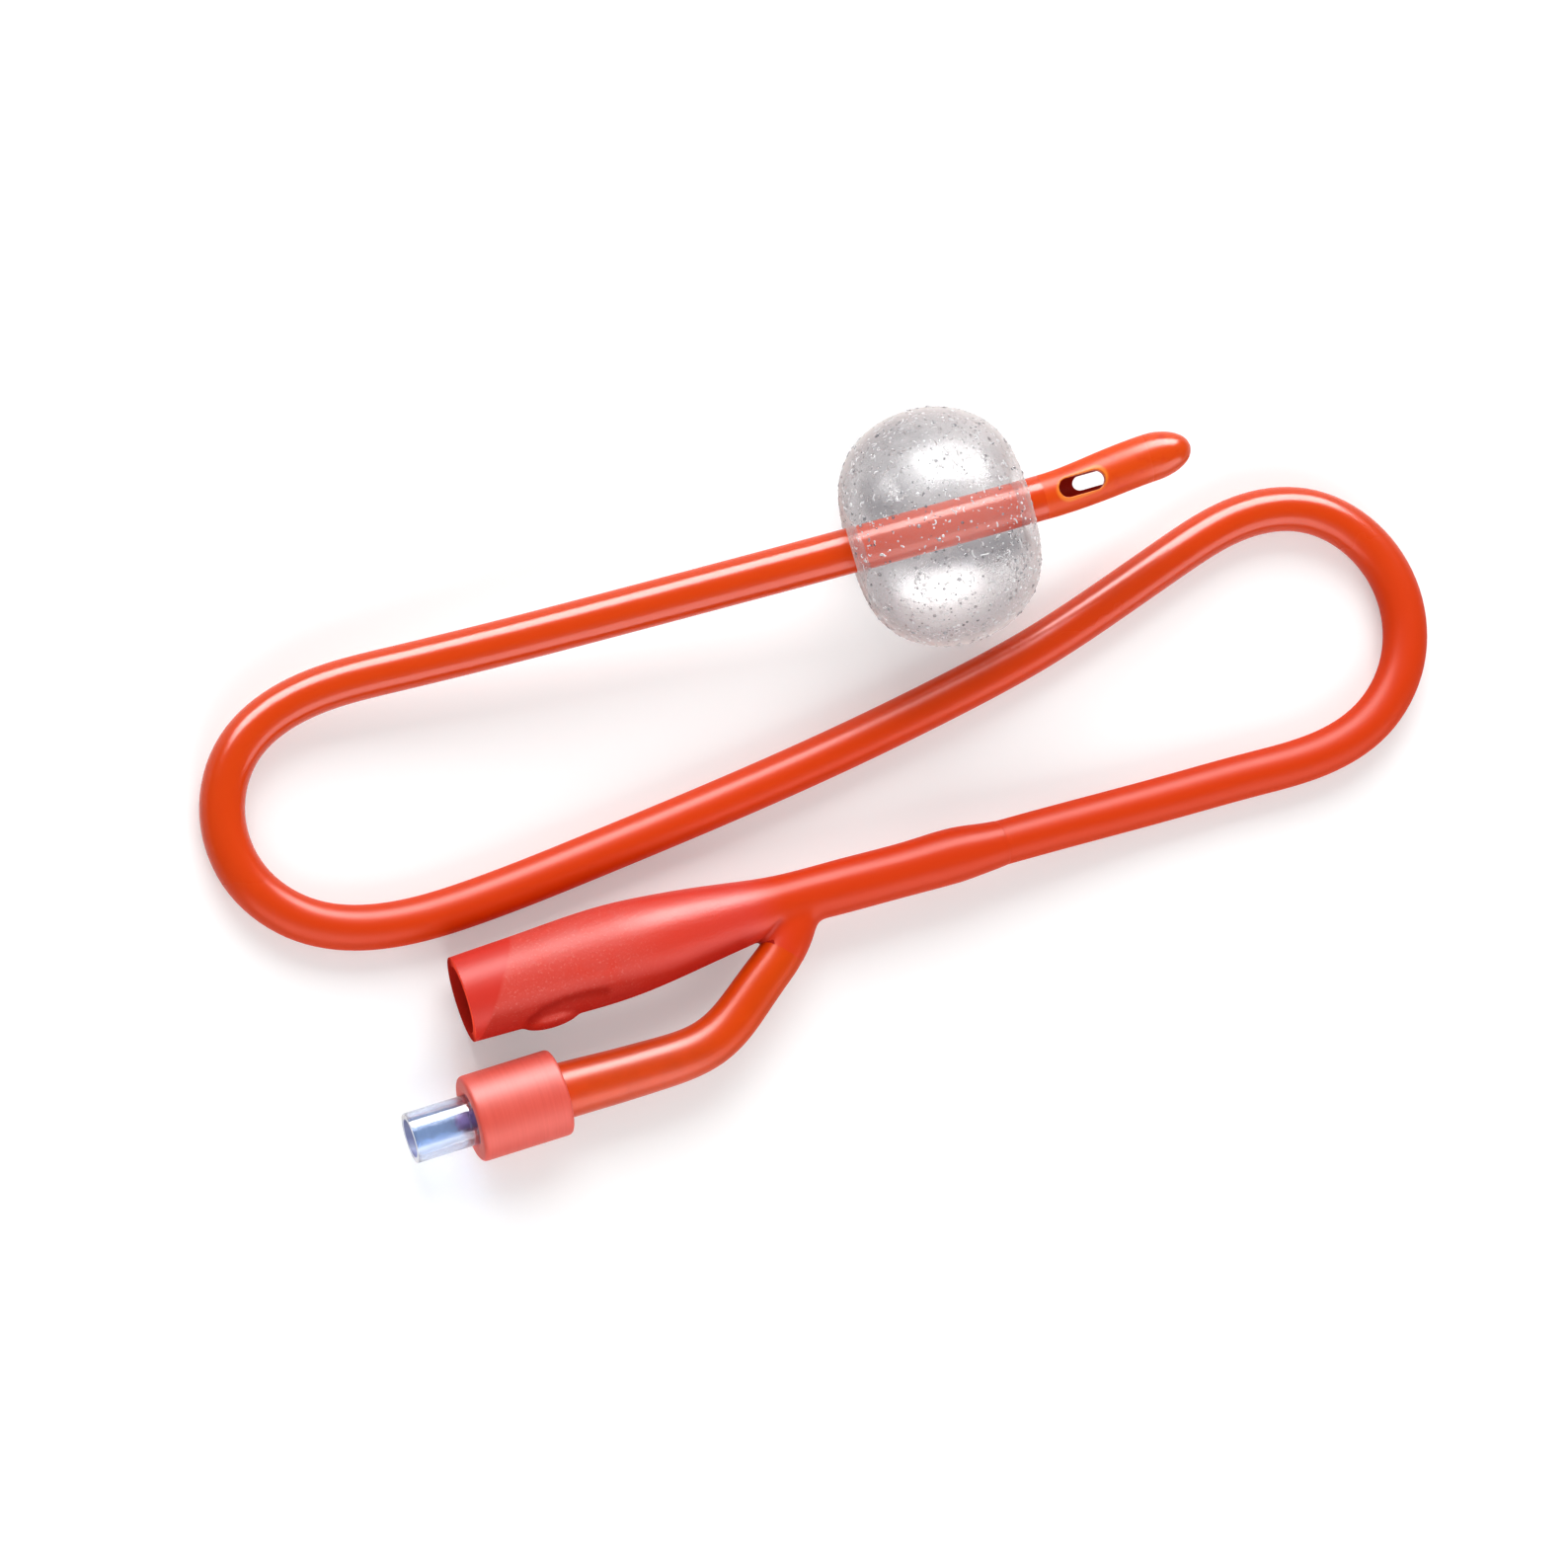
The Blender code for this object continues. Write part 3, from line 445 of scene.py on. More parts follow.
lumen_end = NEAR_EYE_FROM_JOINT + EYE_STAGGER + EYE_LENGTH / 2 - 0.5 * MM
lumen_path = np.array([tip_start + tube_ahead * s + aside(s) for s in np.linspace(-MM, lumen_end, 12)])
cut(tip, swept("tip_lumen", lumen_path, sides=32, radius=TIP_LUMEN_RADIUS))
cut(tip, eye_cutter("near_eye", NEAR_EYE_FROM_JOINT, 1, NEAR_EYE_WIDTH))
cut(tip, eye_cutter("far_eye", NEAR_EYE_FROM_JOINT + EYE_STAGGER, -1, FAR_EYE_WIDTH))
melt(tip, voxel=0.11 * MM, rounds=4)


def points_of(obj):
    found = np.empty(len(obj.data.vertices) * 3)
    obj.data.vertices.foreach_get("co", found)
    return found.reshape(-1, 3)


def store_mask(obj, name, values):
    layer = obj.data.attributes.new(name, "FLOAT", "POINT")
    layer.data.foreach_set("value", np.asarray(values, np.float32))


tip_points = points_of(tip) - np.array(tip_start)
forward = tip_points @ np.array(tube_ahead)
sideways = tip_points @ np.array(tip_across) - [TIP_SET * eased(s / TIP_SET_LENGTH) for s in forward]
upward = tip_points @ np.array(tip_up)
from_axis = np.hypot(sideways, upward)
past_eye_end = np.maximum(np.abs(forward - NEAR_EYE_FROM_JOINT) - (EYE_LENGTH - NEAR_EYE_WIDTH) / 2, 0)
from_eye = np.hypot(past_eye_end, sideways) - NEAR_EYE_WIDTH / 2
rim = np.clip(1.5 - np.abs(from_eye - EYE_RIM_SETBACK) / EYE_RIM_FADE, 0, 1)
rim = rim * (from_axis > EYE_RIM_FROM_AXIS) * (upward > 0)
# The eyes' inner wall, marked for painted shade and a faint painted glow.
eye_inner_shade = np.clip((EYE_INSIDE_FROM_AXIS - from_axis) / EYE_INSIDE_FADE, 0, 1)
eye_inner_shade = eye_inner_shade * (forward < lumen_end + 0.8 * MM)
store_mask(tip, "rim", rim)
store_mask(tip, "eye_inner_shade", eye_inner_shade)
store_mask(tip, "bulge", [eased(s / TIP_GLOSS_FADE - 1.6) for s in forward])


def srgb(red, green, blue):
    """A colour as read from a picture, 0 to 255, as the linear values that a shader takes."""
    shares = [c / 255 for c in (red, green, blue)]
    return tuple(c / 12.92 if c <= 0.04045 else ((c + 0.055) / 1.055) ** 2.4 for c in shares)


# A deep red for painted shade inside the eyes.
EYE_SHADE_RED = srgb(150, 18, 12)
RIM_ORANGE = srgb(240, 130, 40)

tip_paint = glossy_latex("tip_latex")
tip_tone = tip_paint.mix(ORANGE, (0.72, 0.062, 0.001), tip_paint.noise(2 * MM).fade(0.2, 0.5))
tip_tone = tip_paint.mix(tip_tone, RIM_ORANGE, tip_paint.mask("rim") * 0.85)
# Painted shade: the eyes' inner wall is painted a deep red.
tip_tone = tip_paint.mix(tip_tone, EYE_SHADE_RED, tip_paint.mask("eye_inner_shade"))
tip_paint.set(Base_Color=tip_tone, Roughness=0.36 - 0.15 * tip_paint.mask("bulge"))
tip_paint.blend(0.5 * (1 - tip_paint.mask("bulge")), Base_Color=tip_tone, Specular_IOR_Level=0.0)
# A faint painted glow, as emission, lifts the shaded inner wall.
painted_eye_glow = tip_paint.mix((0, 0, 0), (0.11, 0.006, 0.003), tip_paint.mask("eye_inner_shade"))
tip_paint.set(Emission_Color=painted_eye_glow, Emission_Strength=1.0)
dress(tip, tip_paint.material, math.radians(70))
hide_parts("drainage_tip")
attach(tip, "catheter")

# Retention balloon
# A thin veil of clear rubber: grey and see-through in the middle and paler towards its outline, with wet
# highlights from its near wall and, through the water, from its far wall. Painted shade darkens its lower
# half, soft patches of painted dark reflection lie on it, and a painted white highlight brightens the far
# wall below the tube.
BALLOON_RADIUS = 14.05 * MM
BALLOON_HALF_LENGTH = 10.3 * MM
BALLOON_CROWN_RADIUS = 5.6 * MM
BALLOON_DIMPLE = 1.2 * MM
BALLOON_SAG = 1.2 * MM
BALLOON_FROM_TUBE_END = 12.6 * MM
DISH_RINGS = 14
SIDE_RINGS = 36
neck_radius = TUBE_RADIUS - 0.05 * MM


def balloon_side(angle):
    """(radius, distance from the middle) on the broad outside, at an angle up from its widest ring."""
    return (BALLOON_CROWN_RADIUS + (BALLOON_RADIUS - BALLOON_CROWN_RADIUS) * np.cos(angle),
            BALLOON_HALF_LENGTH * np.sin(angle))


def balloon_end(angle):
    """(radius, distance) on the dished end, from the crown's top (0) down to the tube (a quarter turn)."""
    return (BALLOON_CROWN_RADIUS - (BALLOON_CROWN_RADIUS - neck_radius) * math.sin(angle),
            BALLOON_HALF_LENGTH - BALLOON_DIMPLE * (1 - math.cos(angle)))


balloon_middle = tube_end - tube_ahead * BALLOON_FROM_TUBE_END
ahead, across, up = (np.array(way) for way in (tube_ahead, tip_across, tip_up))


def sagged(points):
    """The rear crown leans back a little above the tube, so that it covers the tube from above."""
    offset = points - np.array(balloon_middle)
    rearward = np.clip(-2 * (offset @ ahead) / BALLOON_HALF_LENGTH - 1, 0, 1)
    upward = np.clip((offset @ up) / BALLOON_CROWN_RADIUS, 0, 1)
    return points - ahead * (BALLOON_SAG * rearward * upward)[:, None]


def turned(name, outline, steps, start, along, closed=True):
    """A shape turned round the line from start in the direction along, from (radius, distance) pairs."""
    work = bmesh.new()
    verts = [work.verts.new((point[0], 0.0, point[1])) for point in outline]
    edges = [work.edges.new(pair) for pair in zip(verts, verts[1:])]
    if closed:
        edges.append(work.edges.new((verts[-1], verts[0])))
    bmesh.ops.spin(work, geom=verts + edges, cent=(0, 0, 0), axis=(0, 0, 1), dvec=(0, 0, 0),
                   angle=2 * math.pi, steps=steps, use_merge=True)
    bmesh.ops.remove_doubles(work, verts=work.verts, dist=1e-7)
    bmesh.ops.recalc_face_normals(work, faces=work.faces)
    turn = Vector(along).to_track_quat("Z", "Y").to_matrix().to_4x4()
    work.transform(Matrix.Translation(Vector(start)) @ turn)
    return object_from(name, work)


quarter = math.pi / 2
upper = [balloon_end(quarter * (1 - i / DISH_RINGS)) for i in range(DISH_RINGS + 1)]
upper += [balloon_side(quarter * (1 - i / SIDE_RINGS)) for i in range(1, SIDE_RINGS + 1)]
balloon_outline = upper + [(radius, -height) for radius, height in reversed(upper[:-1])]
balloon = turned("water_balloon", balloon_outline, 128, balloon_middle, tube_ahead, closed=False)
balloon.data.vertices.foreach_set("co", sagged(points_of(balloon)).ravel())

balloon_paint = Paint("balloon_rubber", Specular_IOR_Level=0.0)
milk = balloon_paint.noise(5 * MM, detail=2)
skin = balloon_paint.noise(0.55 * MM, detail=3, roughness=0.6)
edge = balloon_paint.node("ShaderNodeLayerWeight", "Facing", Blend=0.5)
# Paler and denser towards the outline: partly the rubber seen edge-on, partly a painted sheen.
outline_veil_and_sheen = edge.fade(0.4, 0.95)
balloon_x, balloon_y, balloon_z = (balloon_paint.axis(way) for way in "XYZ")
# The lower half: denser, and darker by painted shade.
shaded_lower_half = 1 - balloon_z.fade(balloon_middle.z - 9 * MM, balloon_middle.z + 6 * MM)


def oval(x, y, width, depth):
    """A soft oval round the place x, y, in millimetres, 1 in its middle."""
    spread = ((balloon_x - x * MM) / (width * MM)) ** 2 + ((balloon_y - y * MM) / (depth * MM)) ** 2
    return 1 - spread.fade(0.1, 1.3)


# Soft patches of painted dark reflection, broken up by the milky noise.
dark_reflection_patches = oval(15.2, 26.8, 4.0, 3.6) + oval(23.6, 16.4, 6.0, 2.4)
dark_reflection_patches = dark_reflection_patches + 0.5 * oval(16, 32, 6, 3) + 0.6 * oval(27.6, 26.5, 2.2, 3.5)
dark_reflection_patches = (dark_reflection_patches * milk.fade(0.25, 0.5)).clamped()
# Painted shade: the lower half is a darker grey than the upper.
grey = balloon_paint.mix(srgb(206, 199, 200), srgb(116, 116, 124), shaded_lower_half)
grey = balloon_paint.mix(grey, srgb(84, 86, 98), 0.8 * dark_reflection_patches)
# A painted highlight: a white oval on the far wall below the tube.
painted_far_highlight = oval(18.0, 12.4, 7.0, 4.4) * shaded_lower_half
grey = balloon_paint.mix(grey, srgb(252, 252, 253), 0.9 * painted_far_highlight)
grey = balloon_paint.mix(grey, srgb(222, 216, 213), outline_veil_and_sheen)
veil = 0.18 + shaded_lower_half * (0.32 + 0.26 * dark_reflection_patches + 0.3 * painted_far_highlight) + 0.14 * (skin - 0.5) + 0.3 * outline_veil_and_sheen
balloon_paint.set(Base_Color=grey, Alpha=veil.clamped(), Roughness=1.0)
wet_bump = balloon_paint.bump(skin + 0.8 * milk, 0.07 * MM, 0.6)
wet = 0.028 - 0.012 * oval(17.4, 27.3, 3.4, 1.4) - 0.018 * oval(11.8, 27.0, 2.2, 3.4)
wet = wet + 0.05 * edge.fade(0.6, 1.0)
wet_roughness = 0.3 + 0.14 * (milk - 0.5)
balloon_paint.blend(wet, Base_Color=(1, 1, 1), Metallic=1.0, Roughness=wet_roughness, Normal=wet_bump)
dress(balloon, balloon_paint.material, math.radians(80))
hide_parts("retention_balloon")
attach(balloon, "catheter")

# Droplets on the balloon
# Fine beads and short runs of water: each bead is a low dome, and most are under half a millimetre across.
DROPLETS = 2300
RUNS = 650
SMALLEST_BEAD_RADIUS = 0.06 * MM
LARGEST_BEAD_RADIUS = 0.3 * MM
BEAD_SPREAD = 0.06 * MM
RUN_BEADS = (3, 8)
RUN_BEND = 0.75
RUN_SPACING = 1.1
DOME_HEIGHT = 0.5
droplet_source = random.Random(16)


def droplet_spot():
    """An angle up the balloon's side and a turn round it, evenly spread over its area."""
    while True:
        angle = droplet_source.uniform(-quarter * 0.97, quarter * 0.97)
        if droplet_source.random() * BALLOON_RADIUS < balloon_side(angle)[0]:
            return angle, droplet_source.uniform(0, 2 * math.pi)


beads = []
for _ in range(DROPLETS):
    size = min(LARGEST_BEAD_RADIUS, SMALLEST_BEAD_RADIUS + droplet_source.expovariate(1 / BEAD_SPREAD))
    # The last number is a bead's share of painted glint: 1 is a white painted glint, 0 a dark grey painted
    # shade.
    beads.append((*droplet_spot(), size, droplet_source.choice((0.0, 0.25, 0.8, 1.0))))
for _ in range(RUNS):
    angle, turn = droplet_spot()
    heading = droplet_source.uniform(0, 2 * math.pi)
    bend = droplet_source.uniform(-RUN_BEND, RUN_BEND)
    size = MM * droplet_source.uniform(0.07, 0.13)
    for _ in range(droplet_source.randint(*RUN_BEADS)):
        beads.append((angle, turn, size, 0.9))
        angle += RUN_SPACING * size / BALLOON_HALF_LENGTH * math.sin(heading)
        turn += RUN_SPACING * size / balloon_side(angle)[0] * math.cos(heading)
        heading += bend

angle, turn, size, painted_glint_share = np.array(beads).T[:, :, None]
radius, height = balloon_side(angle)
spoke = across * np.cos(turn) + up * np.sin(turn)
outward = spoke * BALLOON_HALF_LENGTH * np.cos(angle)
outward += ahead * (BALLOON_RADIUS - BALLOON_CROWN_RADIUS) * np.sin(angle)
outward /= np.linalg.norm(outward, axis=1)[:, None]
sideward = np.cross(ahead, outward)
sideward /= np.linalg.norm(sideward, axis=1)[:, None]
place = np.array(balloon_middle) + spoke * radius + ahead * height

ball = bmesh.new()
bmesh.ops.create_icosphere(ball, subdivisions=1, radius=1.0)
ball_points = np.array([v.co for v in ball.verts])
ball_faces = np.array([[v.index for v in face.verts] for face in ball.faces])
ball.free()
axes = np.stack([sideward, np.cross(outward, sideward), DOME_HEIGHT * outward], axis=1) * size[:, :, None]
domes = sagged(place)[:, None, :] + ball_points @ axes
first_points = len(ball_points) * np.arange(len(beads))
dome_faces = ball_faces + first_points[:, None, None]
droplet_mesh = bpy.data.meshes.new("balloon_droplets")
droplet_mesh.from_pydata(domes.reshape(-1, 3), [], dome_faces.reshape(-1, 3))
droplets = add_object("balloon_droplets", droplet_mesh)
store_mask(droplets, "painted_glint_share", np.repeat(painted_glint_share, len(ball_points)))

# Clear water painted as light: dark grey beads stand for painted shade, white beads and runs for painted
# glints.
droplet_paint = Paint("droplet_water", IOR=1.5, Alpha=0.55)
beading = droplet_paint.noise(0.4 * MM)
bead_glint_and_shade = droplet_paint.mix(srgb(112, 112, 120), srgb(250, 250, 252), droplet_paint.mask("painted_glint_share"))
droplet_paint.set(Base_Color=bead_glint_and_shade, Roughness=0.05 + 0.08 * beading)
dress(droplets, droplet_paint.material, math.radians(180))
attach(droplets, "catheter")

# Funnel body
# The moulded Y: a wide drainage funnel with a lip band and a knuckle, the arm's root, and a sleeve on the
# tube. Its satin latex is chalky on the funnel and glossier on the sleeve. Painted shade darkens its
# underside flank and its creases, and the mouth's rim and bore get painted shade and a painted glow.
BODY_LENGTH = 67.0 * MM
NECK_FROM_NOSE = 27.6 * MM
BELLY_FROM_MOUTH = 19.5 * MM
NOSE_TAPER_LENGTH = 4.0 * MM
NOSE_RADIUS = 2.78 * MM
NOSE_LIP = 1.2 * MM
SLEEVE_RADIUS = 3.2 * MM
NECK_RADIUS = 3.35 * MM
BELLY_RADIUS = 5.65 * MM
MOUTH_RADIUS = 5.1 * MM
FUNNEL_WALL = 1.1 * MM
MOUTH_LEAN = 0.05
FUNNEL_AXIS_Y = -15.85 * MM
FUNNEL_AXIS_Z = 5.8 * MM
KNUCKLE_FROM_MOUTH = 9.8 * MM
KNUCKLE_LENGTH = 7.2 * MM
KNUCKLE_DEPTH = 2.4 * MM
KNUCKLE_WIDTH = 5.6 * MM
KNUCKLE_PROUD = 0.6 * MM
KNUCKLE_CREASE = [(-45.6, -20.6), (-44.2, -19.9), (-41.5, -19.5), (-38.5, -19.55), (-36.4, -19.9)]
KNUCKLE_CREASE_WIDTH = 0.55 * MM
KNUCKLE_CREASE_DEPTH = 0.28 * MM
CROTCH_CREASE = [(-16.4, -19.9), (-15.0, -18.9), (-13.8, -18.1)]
CROTCH_CREASE_WIDTH = 0.4 * MM
CROTCH_CREASE_DEPTH = 0.1 * MM
WEB_MIDDLE = (-11.3, -18.9, 5.7)
WEB_REACH = 5.5 * MM
WEB_ROUNDS = 90
ARM_ROUTE = [
    (-10.3, -17.2, 5.7), (-12.0, -19.3, 5.75), (-14.0, -21.55, 5.7), (-16.6, -23.55, 5.65),
    (-19.6, -25.8, 5.55), (-22.6, -27.9, 5.4), (-25.4, -29.15, 5.3), (-28.6, -29.7, 5.25),
    (-32.5, -29.75, 5.2), (-37.5, -29.65, 5.2), (-43.0, -29.45, 5.2), (-48.1, -29.4, 5.2),
]
ARM_JOINT = 2
ARM_ROOT_FLARE = 2.8 * MM
ARM_ROOT_RADIUS = 2.62 * MM

nose = Vector(TUBE_ROUTE[0]) * MM
nose_x = nose.x - GAP
mouth_x = nose_x - BODY_LENGTH
neck_x = nose_x - NECK_FROM_NOSE
belly_x = mouth_x + BELLY_FROM_MOUTH


def body_axis():
    """Stations of the body from mouth to nose: place and outer radius."""
    flank = neck_x - belly_x
    sleeve = nose_x - NOSE_TAPER_LENGTH - neck_x
    swell = BELLY_RADIUS - NECK_RADIUS
    lip = 1.0 * MM
    rows = [
        (mouth_x, MOUTH_RADIUS, 0.0),
        (mouth_x + lip, MOUTH_RADIUS + 0.08 * (BELLY_RADIUS - MOUTH_RADIUS), 0.0),
        (mouth_x + 0.45 * BELLY_FROM_MOUTH, MOUTH_RADIUS + 0.55 * (BELLY_RADIUS - MOUTH_RADIUS), 0.0),
        (belly_x, BELLY_RADIUS, 0.0),
        (belly_x + 0.22 * flank, NECK_RADIUS + 0.86 * swell, 0.0),
        (belly_x + 0.47 * flank, NECK_RADIUS + 0.60 * swell, 0.0),
        (belly_x + 0.75 * flank, NECK_RADIUS + 0.26 * swell, 0.08),
        (neck_x, NECK_RADIUS, 0.2),
        (neck_x + 0.35 * sleeve, SLEEVE_RADIUS, 0.42),
        (neck_x + 0.75 * sleeve, SLEEVE_RADIUS, 0.72),
        (nose_x - NOSE_TAPER_LENGTH, SLEEVE_RADIUS, 0.84),
        (nose_x - 0.4 * NOSE_TAPER_LENGTH, 0.4 * SLEEVE_RADIUS + 0.6 * NOSE_RADIUS, 0.95),
        (nose_x, NOSE_RADIUS, 1.0),
        (nose_x + NOSE_LIP, TUBE_RADIUS + 0.01 * MM, 1.0),
    ]
    found = []
    for x, radius, sunk in rows:
        y = FUNNEL_AXIS_Y + (nose.y - FUNNEL_AXIS_Y) * sunk
        z = FUNNEL_AXIS_Z + (nose.z - FUNNEL_AXIS_Z) * sunk
        found.append((x, y, z, radius))
    return found


outside = smooth_curve(body_axis(), step=0.7 * MM)
outside[0, 1:3] = outside[1, 1:3] = (FUNNEL_AXIS_Y, FUNNEL_AXIS_Z)
outside[0, 0] -= 0.6 * MM
body = swept("y_body", outside, sides=96)
arm_curve = smooth_curve(metres(ARM_ROUTE), step=0.5 * MM)
joint = int(np.argmin(np.linalg.norm(arm_curve - np.array(ARM_ROUTE[ARM_JOINT]) * MM, axis=1)))
root = arm_curve[:joint + 4]
root_radii = np.interp(root[:, 0], [arm_curve[joint + 4, 0], arm_curve[joint, 0],
                                    0.5 * (root[0, 0] + root[-1, 0]), root[0, 0]],
                       [ARM_ROOT_RADIUS - 0.25 * MM, ARM_ROOT_RADIUS + 0.08 * MM, ARM_ROOT_FLARE,
                        0.8 * SLEEVE_RADIUS])
cut(body, swept("arm_stub", np.column_stack([root, root_radii]), sides=64), "UNION")

knuckle = bmesh.new()
knuckle_middle = Vector((mouth_x + KNUCKLE_FROM_MOUTH,
                         FUNNEL_AXIS_Y - BELLY_RADIUS - KNUCKLE_PROUD + KNUCKLE_DEPTH / 2, FUNNEL_AXIS_Z))
bmesh.ops.create_uvsphere(knuckle, u_segments=32, v_segments=20, radius=0.5,
                          matrix=Matrix.Translation(knuckle_middle)
                          @ Matrix.Diagonal((KNUCKLE_LENGTH, KNUCKLE_DEPTH, KNUCKLE_WIDTH, 1)))
cut(body, object_from("knuckle", knuckle), "UNION")
melt(body, voxel=0.22 * MM, rounds=12)

web = body.vertex_groups.new(name="web")
for i, away in enumerate(np.linalg.norm(points_of(body) - np.array(WEB_MIDDLE) * MM, axis=1)):
    if away < WEB_REACH:
        web.add([i], eased(2 - 2 * away / WEB_REACH), "REPLACE")
soften = body.modifiers.new("web", "SMOOTH")
soften.vertex_group = "web"
soften.iterations = WEB_ROUNDS
apply_modifiers(body)


def half_space(name, start, outward, size=30 * MM):
    """A block whose flat face passes through start, to trim away what lies beyond it."""
    block = bmesh.new()
    turn = Vector(outward).to_track_quat("Z", "Y").to_matrix().to_4x4()
    bmesh.ops.create_cube(block, size=1.0, matrix=Matrix.Translation(start) @ turn
                          @ Matrix.Translation((0, 0, size / 2)) @ Matrix.Scale(size, 4))
    return object_from(name, block)


mouth_top = Vector((mouth_x, FUNNEL_AXIS_Y, FUNNEL_AXIS_Z + MOUTH_RADIUS))
cut(body, half_space("mouth_plane", mouth_top, (-1, 0, -MOUTH_LEAN)))

bore_rows = []
for x, y, z, radius in body_axis():
    narrow = eased((x - belly_x) / (neck_x - belly_x))
    bore_rows.append((x, y, z, (1 - narrow) * (radius - FUNNEL_WALL) + narrow * TIP_LUMEN_RADIUS))
bore = smooth_curve(bore_rows, step=1.0 * MM)
bore = bore[bore[:, 0] < neck_x + 4 * MM]
bore[0, 0] -= 1.0 * MM
cut(body, swept("funnel_bore", bore, sides=64))


def crease_depth(points, line, width):
    """1 on a line of (x, y) millimetres on the body's upper side, and falling off over the width."""
    nearest = np.full(len(points), 1.0)
    for (ax, ay), (bx, by) in zip(line, line[1:]):
        start = np.array((ax, ay)) * MM
        span = np.array((bx - ax, by - ay)) * MM
        share = np.clip((points[:, :2] - start) @ span / (span @ span), 0, 1)
        nearest = np.minimum(nearest, np.linalg.norm(points[:, :2] - start - share[:, None] * span, axis=1))
    return np.exp(-(nearest / width) ** 2) * (points[:, 2] > FUNNEL_AXIS_Z)


body_points = points_of(body)
knuckle_crease = crease_depth(body_points, KNUCKLE_CREASE, KNUCKLE_CREASE_WIDTH)
crotch_crease = crease_depth(body_points, CROTCH_CREASE, CROTCH_CREASE_WIDTH)
sunk = KNUCKLE_CREASE_DEPTH * knuckle_crease + CROTCH_CREASE_DEPTH * crotch_crease
normals = np.empty(len(body_points) * 3)
body.data.vertices.foreach_get("normal", normals)
normals = normals.reshape(-1, 3)
body_points = body_points - normals * sunk[:, None]
body.data.vertices.foreach_set("co", body_points.ravel())
# The creases are sunk into the surface, and their mask carries painted shade.
store_mask(body, "crease", np.clip(knuckle_crease + 0.7 * crotch_crease, 0, 1))
# The flank: the underside turned away from the main light, which gets painted shade.
flank = np.clip(-1.8 * normals[:, 1] - 0.6, 0, 1) * np.clip((-15 * MM - body_points[:, 0]) / (4 * MM), 0, 1)
store_mask(body, "flank", flank)

body_paint = Paint("body_latex", Sheen_Weight=0.25, Sheen_Roughness=0.3, Sheen_Tint=(1.0, 0.4, 0.32),
                   Subsurface_Weight=0.1, Subsurface_Scale=0.6 * MM, IOR=1.27)
body_paint.shader.inputs["Subsurface Radius"].default_value = (1.0, 0.25, 0.1)
grain = body_paint.noise(0.3 * MM, detail=3, roughness=0.65)
cloud = body_paint.noise(4 * MM, detail=3)
body_x = body_paint.axis("X")
body_y = body_paint.axis("Y")
toward_tube = body_x.fade(-18 * MM, -12 * MM)
lip_edge = body_x - mouth_x - 0.67 * (body_y + 18 * MM)
lip_band = 1 - lip_edge.fade(2.3 * MM, 2.9 * MM)
chalky = 1 - body_x.fade(-36 * MM, -26 * MM)
shaded = body_paint.mask("flank") * (1 - lip_band)
body_tone = body_paint.mix((0.68, 0.042, 0.022), (0.66, 0.058, 0.04), chalky * cloud.fade(0.3, 0.55))
body_tone = body_paint.mix(body_tone, (0.76, 0.18, 0.14), chalky * grain.fade(0.54, 0.72) * 0.5)
body_tone = body_paint.mix(body_tone, (0.66, 0.042, 0.004), toward_tube)
body_tone = body_paint.mix(body_tone, (0.64, 0.03, 0.017), lip_band)
# Painted shade: darker on the flank and in the creases.
body_tone = body_paint.mix(body_tone, (0.4, 0.013, 0.008), 0.7 * shaded)
body_tone = body_paint.mix(body_tone, (0.34, 0.012, 0.007), 0.65 * body_paint.mask("crease"))
satin = (1 - lip_band) * (1 - toward_tube)
body_bump = body_paint.bump(grain * satin + 0.25 * cloud, 0.05 * MM, 0.9)
body_roughness = 0.32 + 0.12 * chalky + 0.08 * (grain - 0.5)
body_paint.set(Base_Color=body_tone, Roughness=body_roughness, Normal=body_bump)
matte = (1.2 * shaded + 0.4 * chalky + 0.55 * toward_tube).clamped()
body_paint.blend(matte, Base_Color=body_tone, Specular_IOR_Level=0.0, Normal=body_bump)
dress(body, body_paint.material, math.radians(50))

# The mouth's rim and the funnel's bore: painted shade darkens the rim's lower side and the bore further in,
# and emission paints a glow, strongest on the rim's upper side and faint below and in the bore.
rim_paint = Paint("rim_latex", Specular_IOR_Level=0.0, Roughness=0.8, Emission_Strength=1.0)
rim_speck = rim_paint.noise(0.3 * MM)
depth = rim_paint.axis("X") - mouth_x
rim_tone = rim_paint.mix((0.66, 0.045, 0.024), (0.74, 0.06, 0.03), rim_speck)
deep = depth.fade(0.6 * MM, 2.0 * MM)
above = rim_paint.axis("Z").fade(FUNNEL_AXIS_Z - MM, FUNNEL_AXIS_Z + 3 * MM)
# Painted shade on the rim's lower side.
rim_tone = rim_paint.mix((0.36, 0.016, 0.01), rim_tone, above)
rim_paint.set(Base_Color=rim_paint.mix(rim_tone, (0.32, 0.013, 0.008), deep))
# A painted glow, as emission.
rim_glow = rim_paint.mix((0.06, 0.002, 0.001), (0.34, 0.03, 0.016), above)
rim_paint.set(Emission_Color=rim_paint.mix(rim_glow, (0.07, 0.003, 0.0015), deep))
body.data.materials.append(rim_paint.material)
for face in body.data.polygons:
    from_funnel_axis = Vector((0, face.center.y - FUNNEL_AXIS_Y, face.center.z - FUNNEL_AXIS_Z))
    on_rim = face.normal.x < -0.9 and face.center.x < mouth_x + MM
    in_funnel = from_funnel_axis.dot(face.normal) < 0 and face.center.x < neck_x
    if on_rim or in_funnel:
        face.material_index = 1
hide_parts("funnel_body")
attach(body, "catheter")

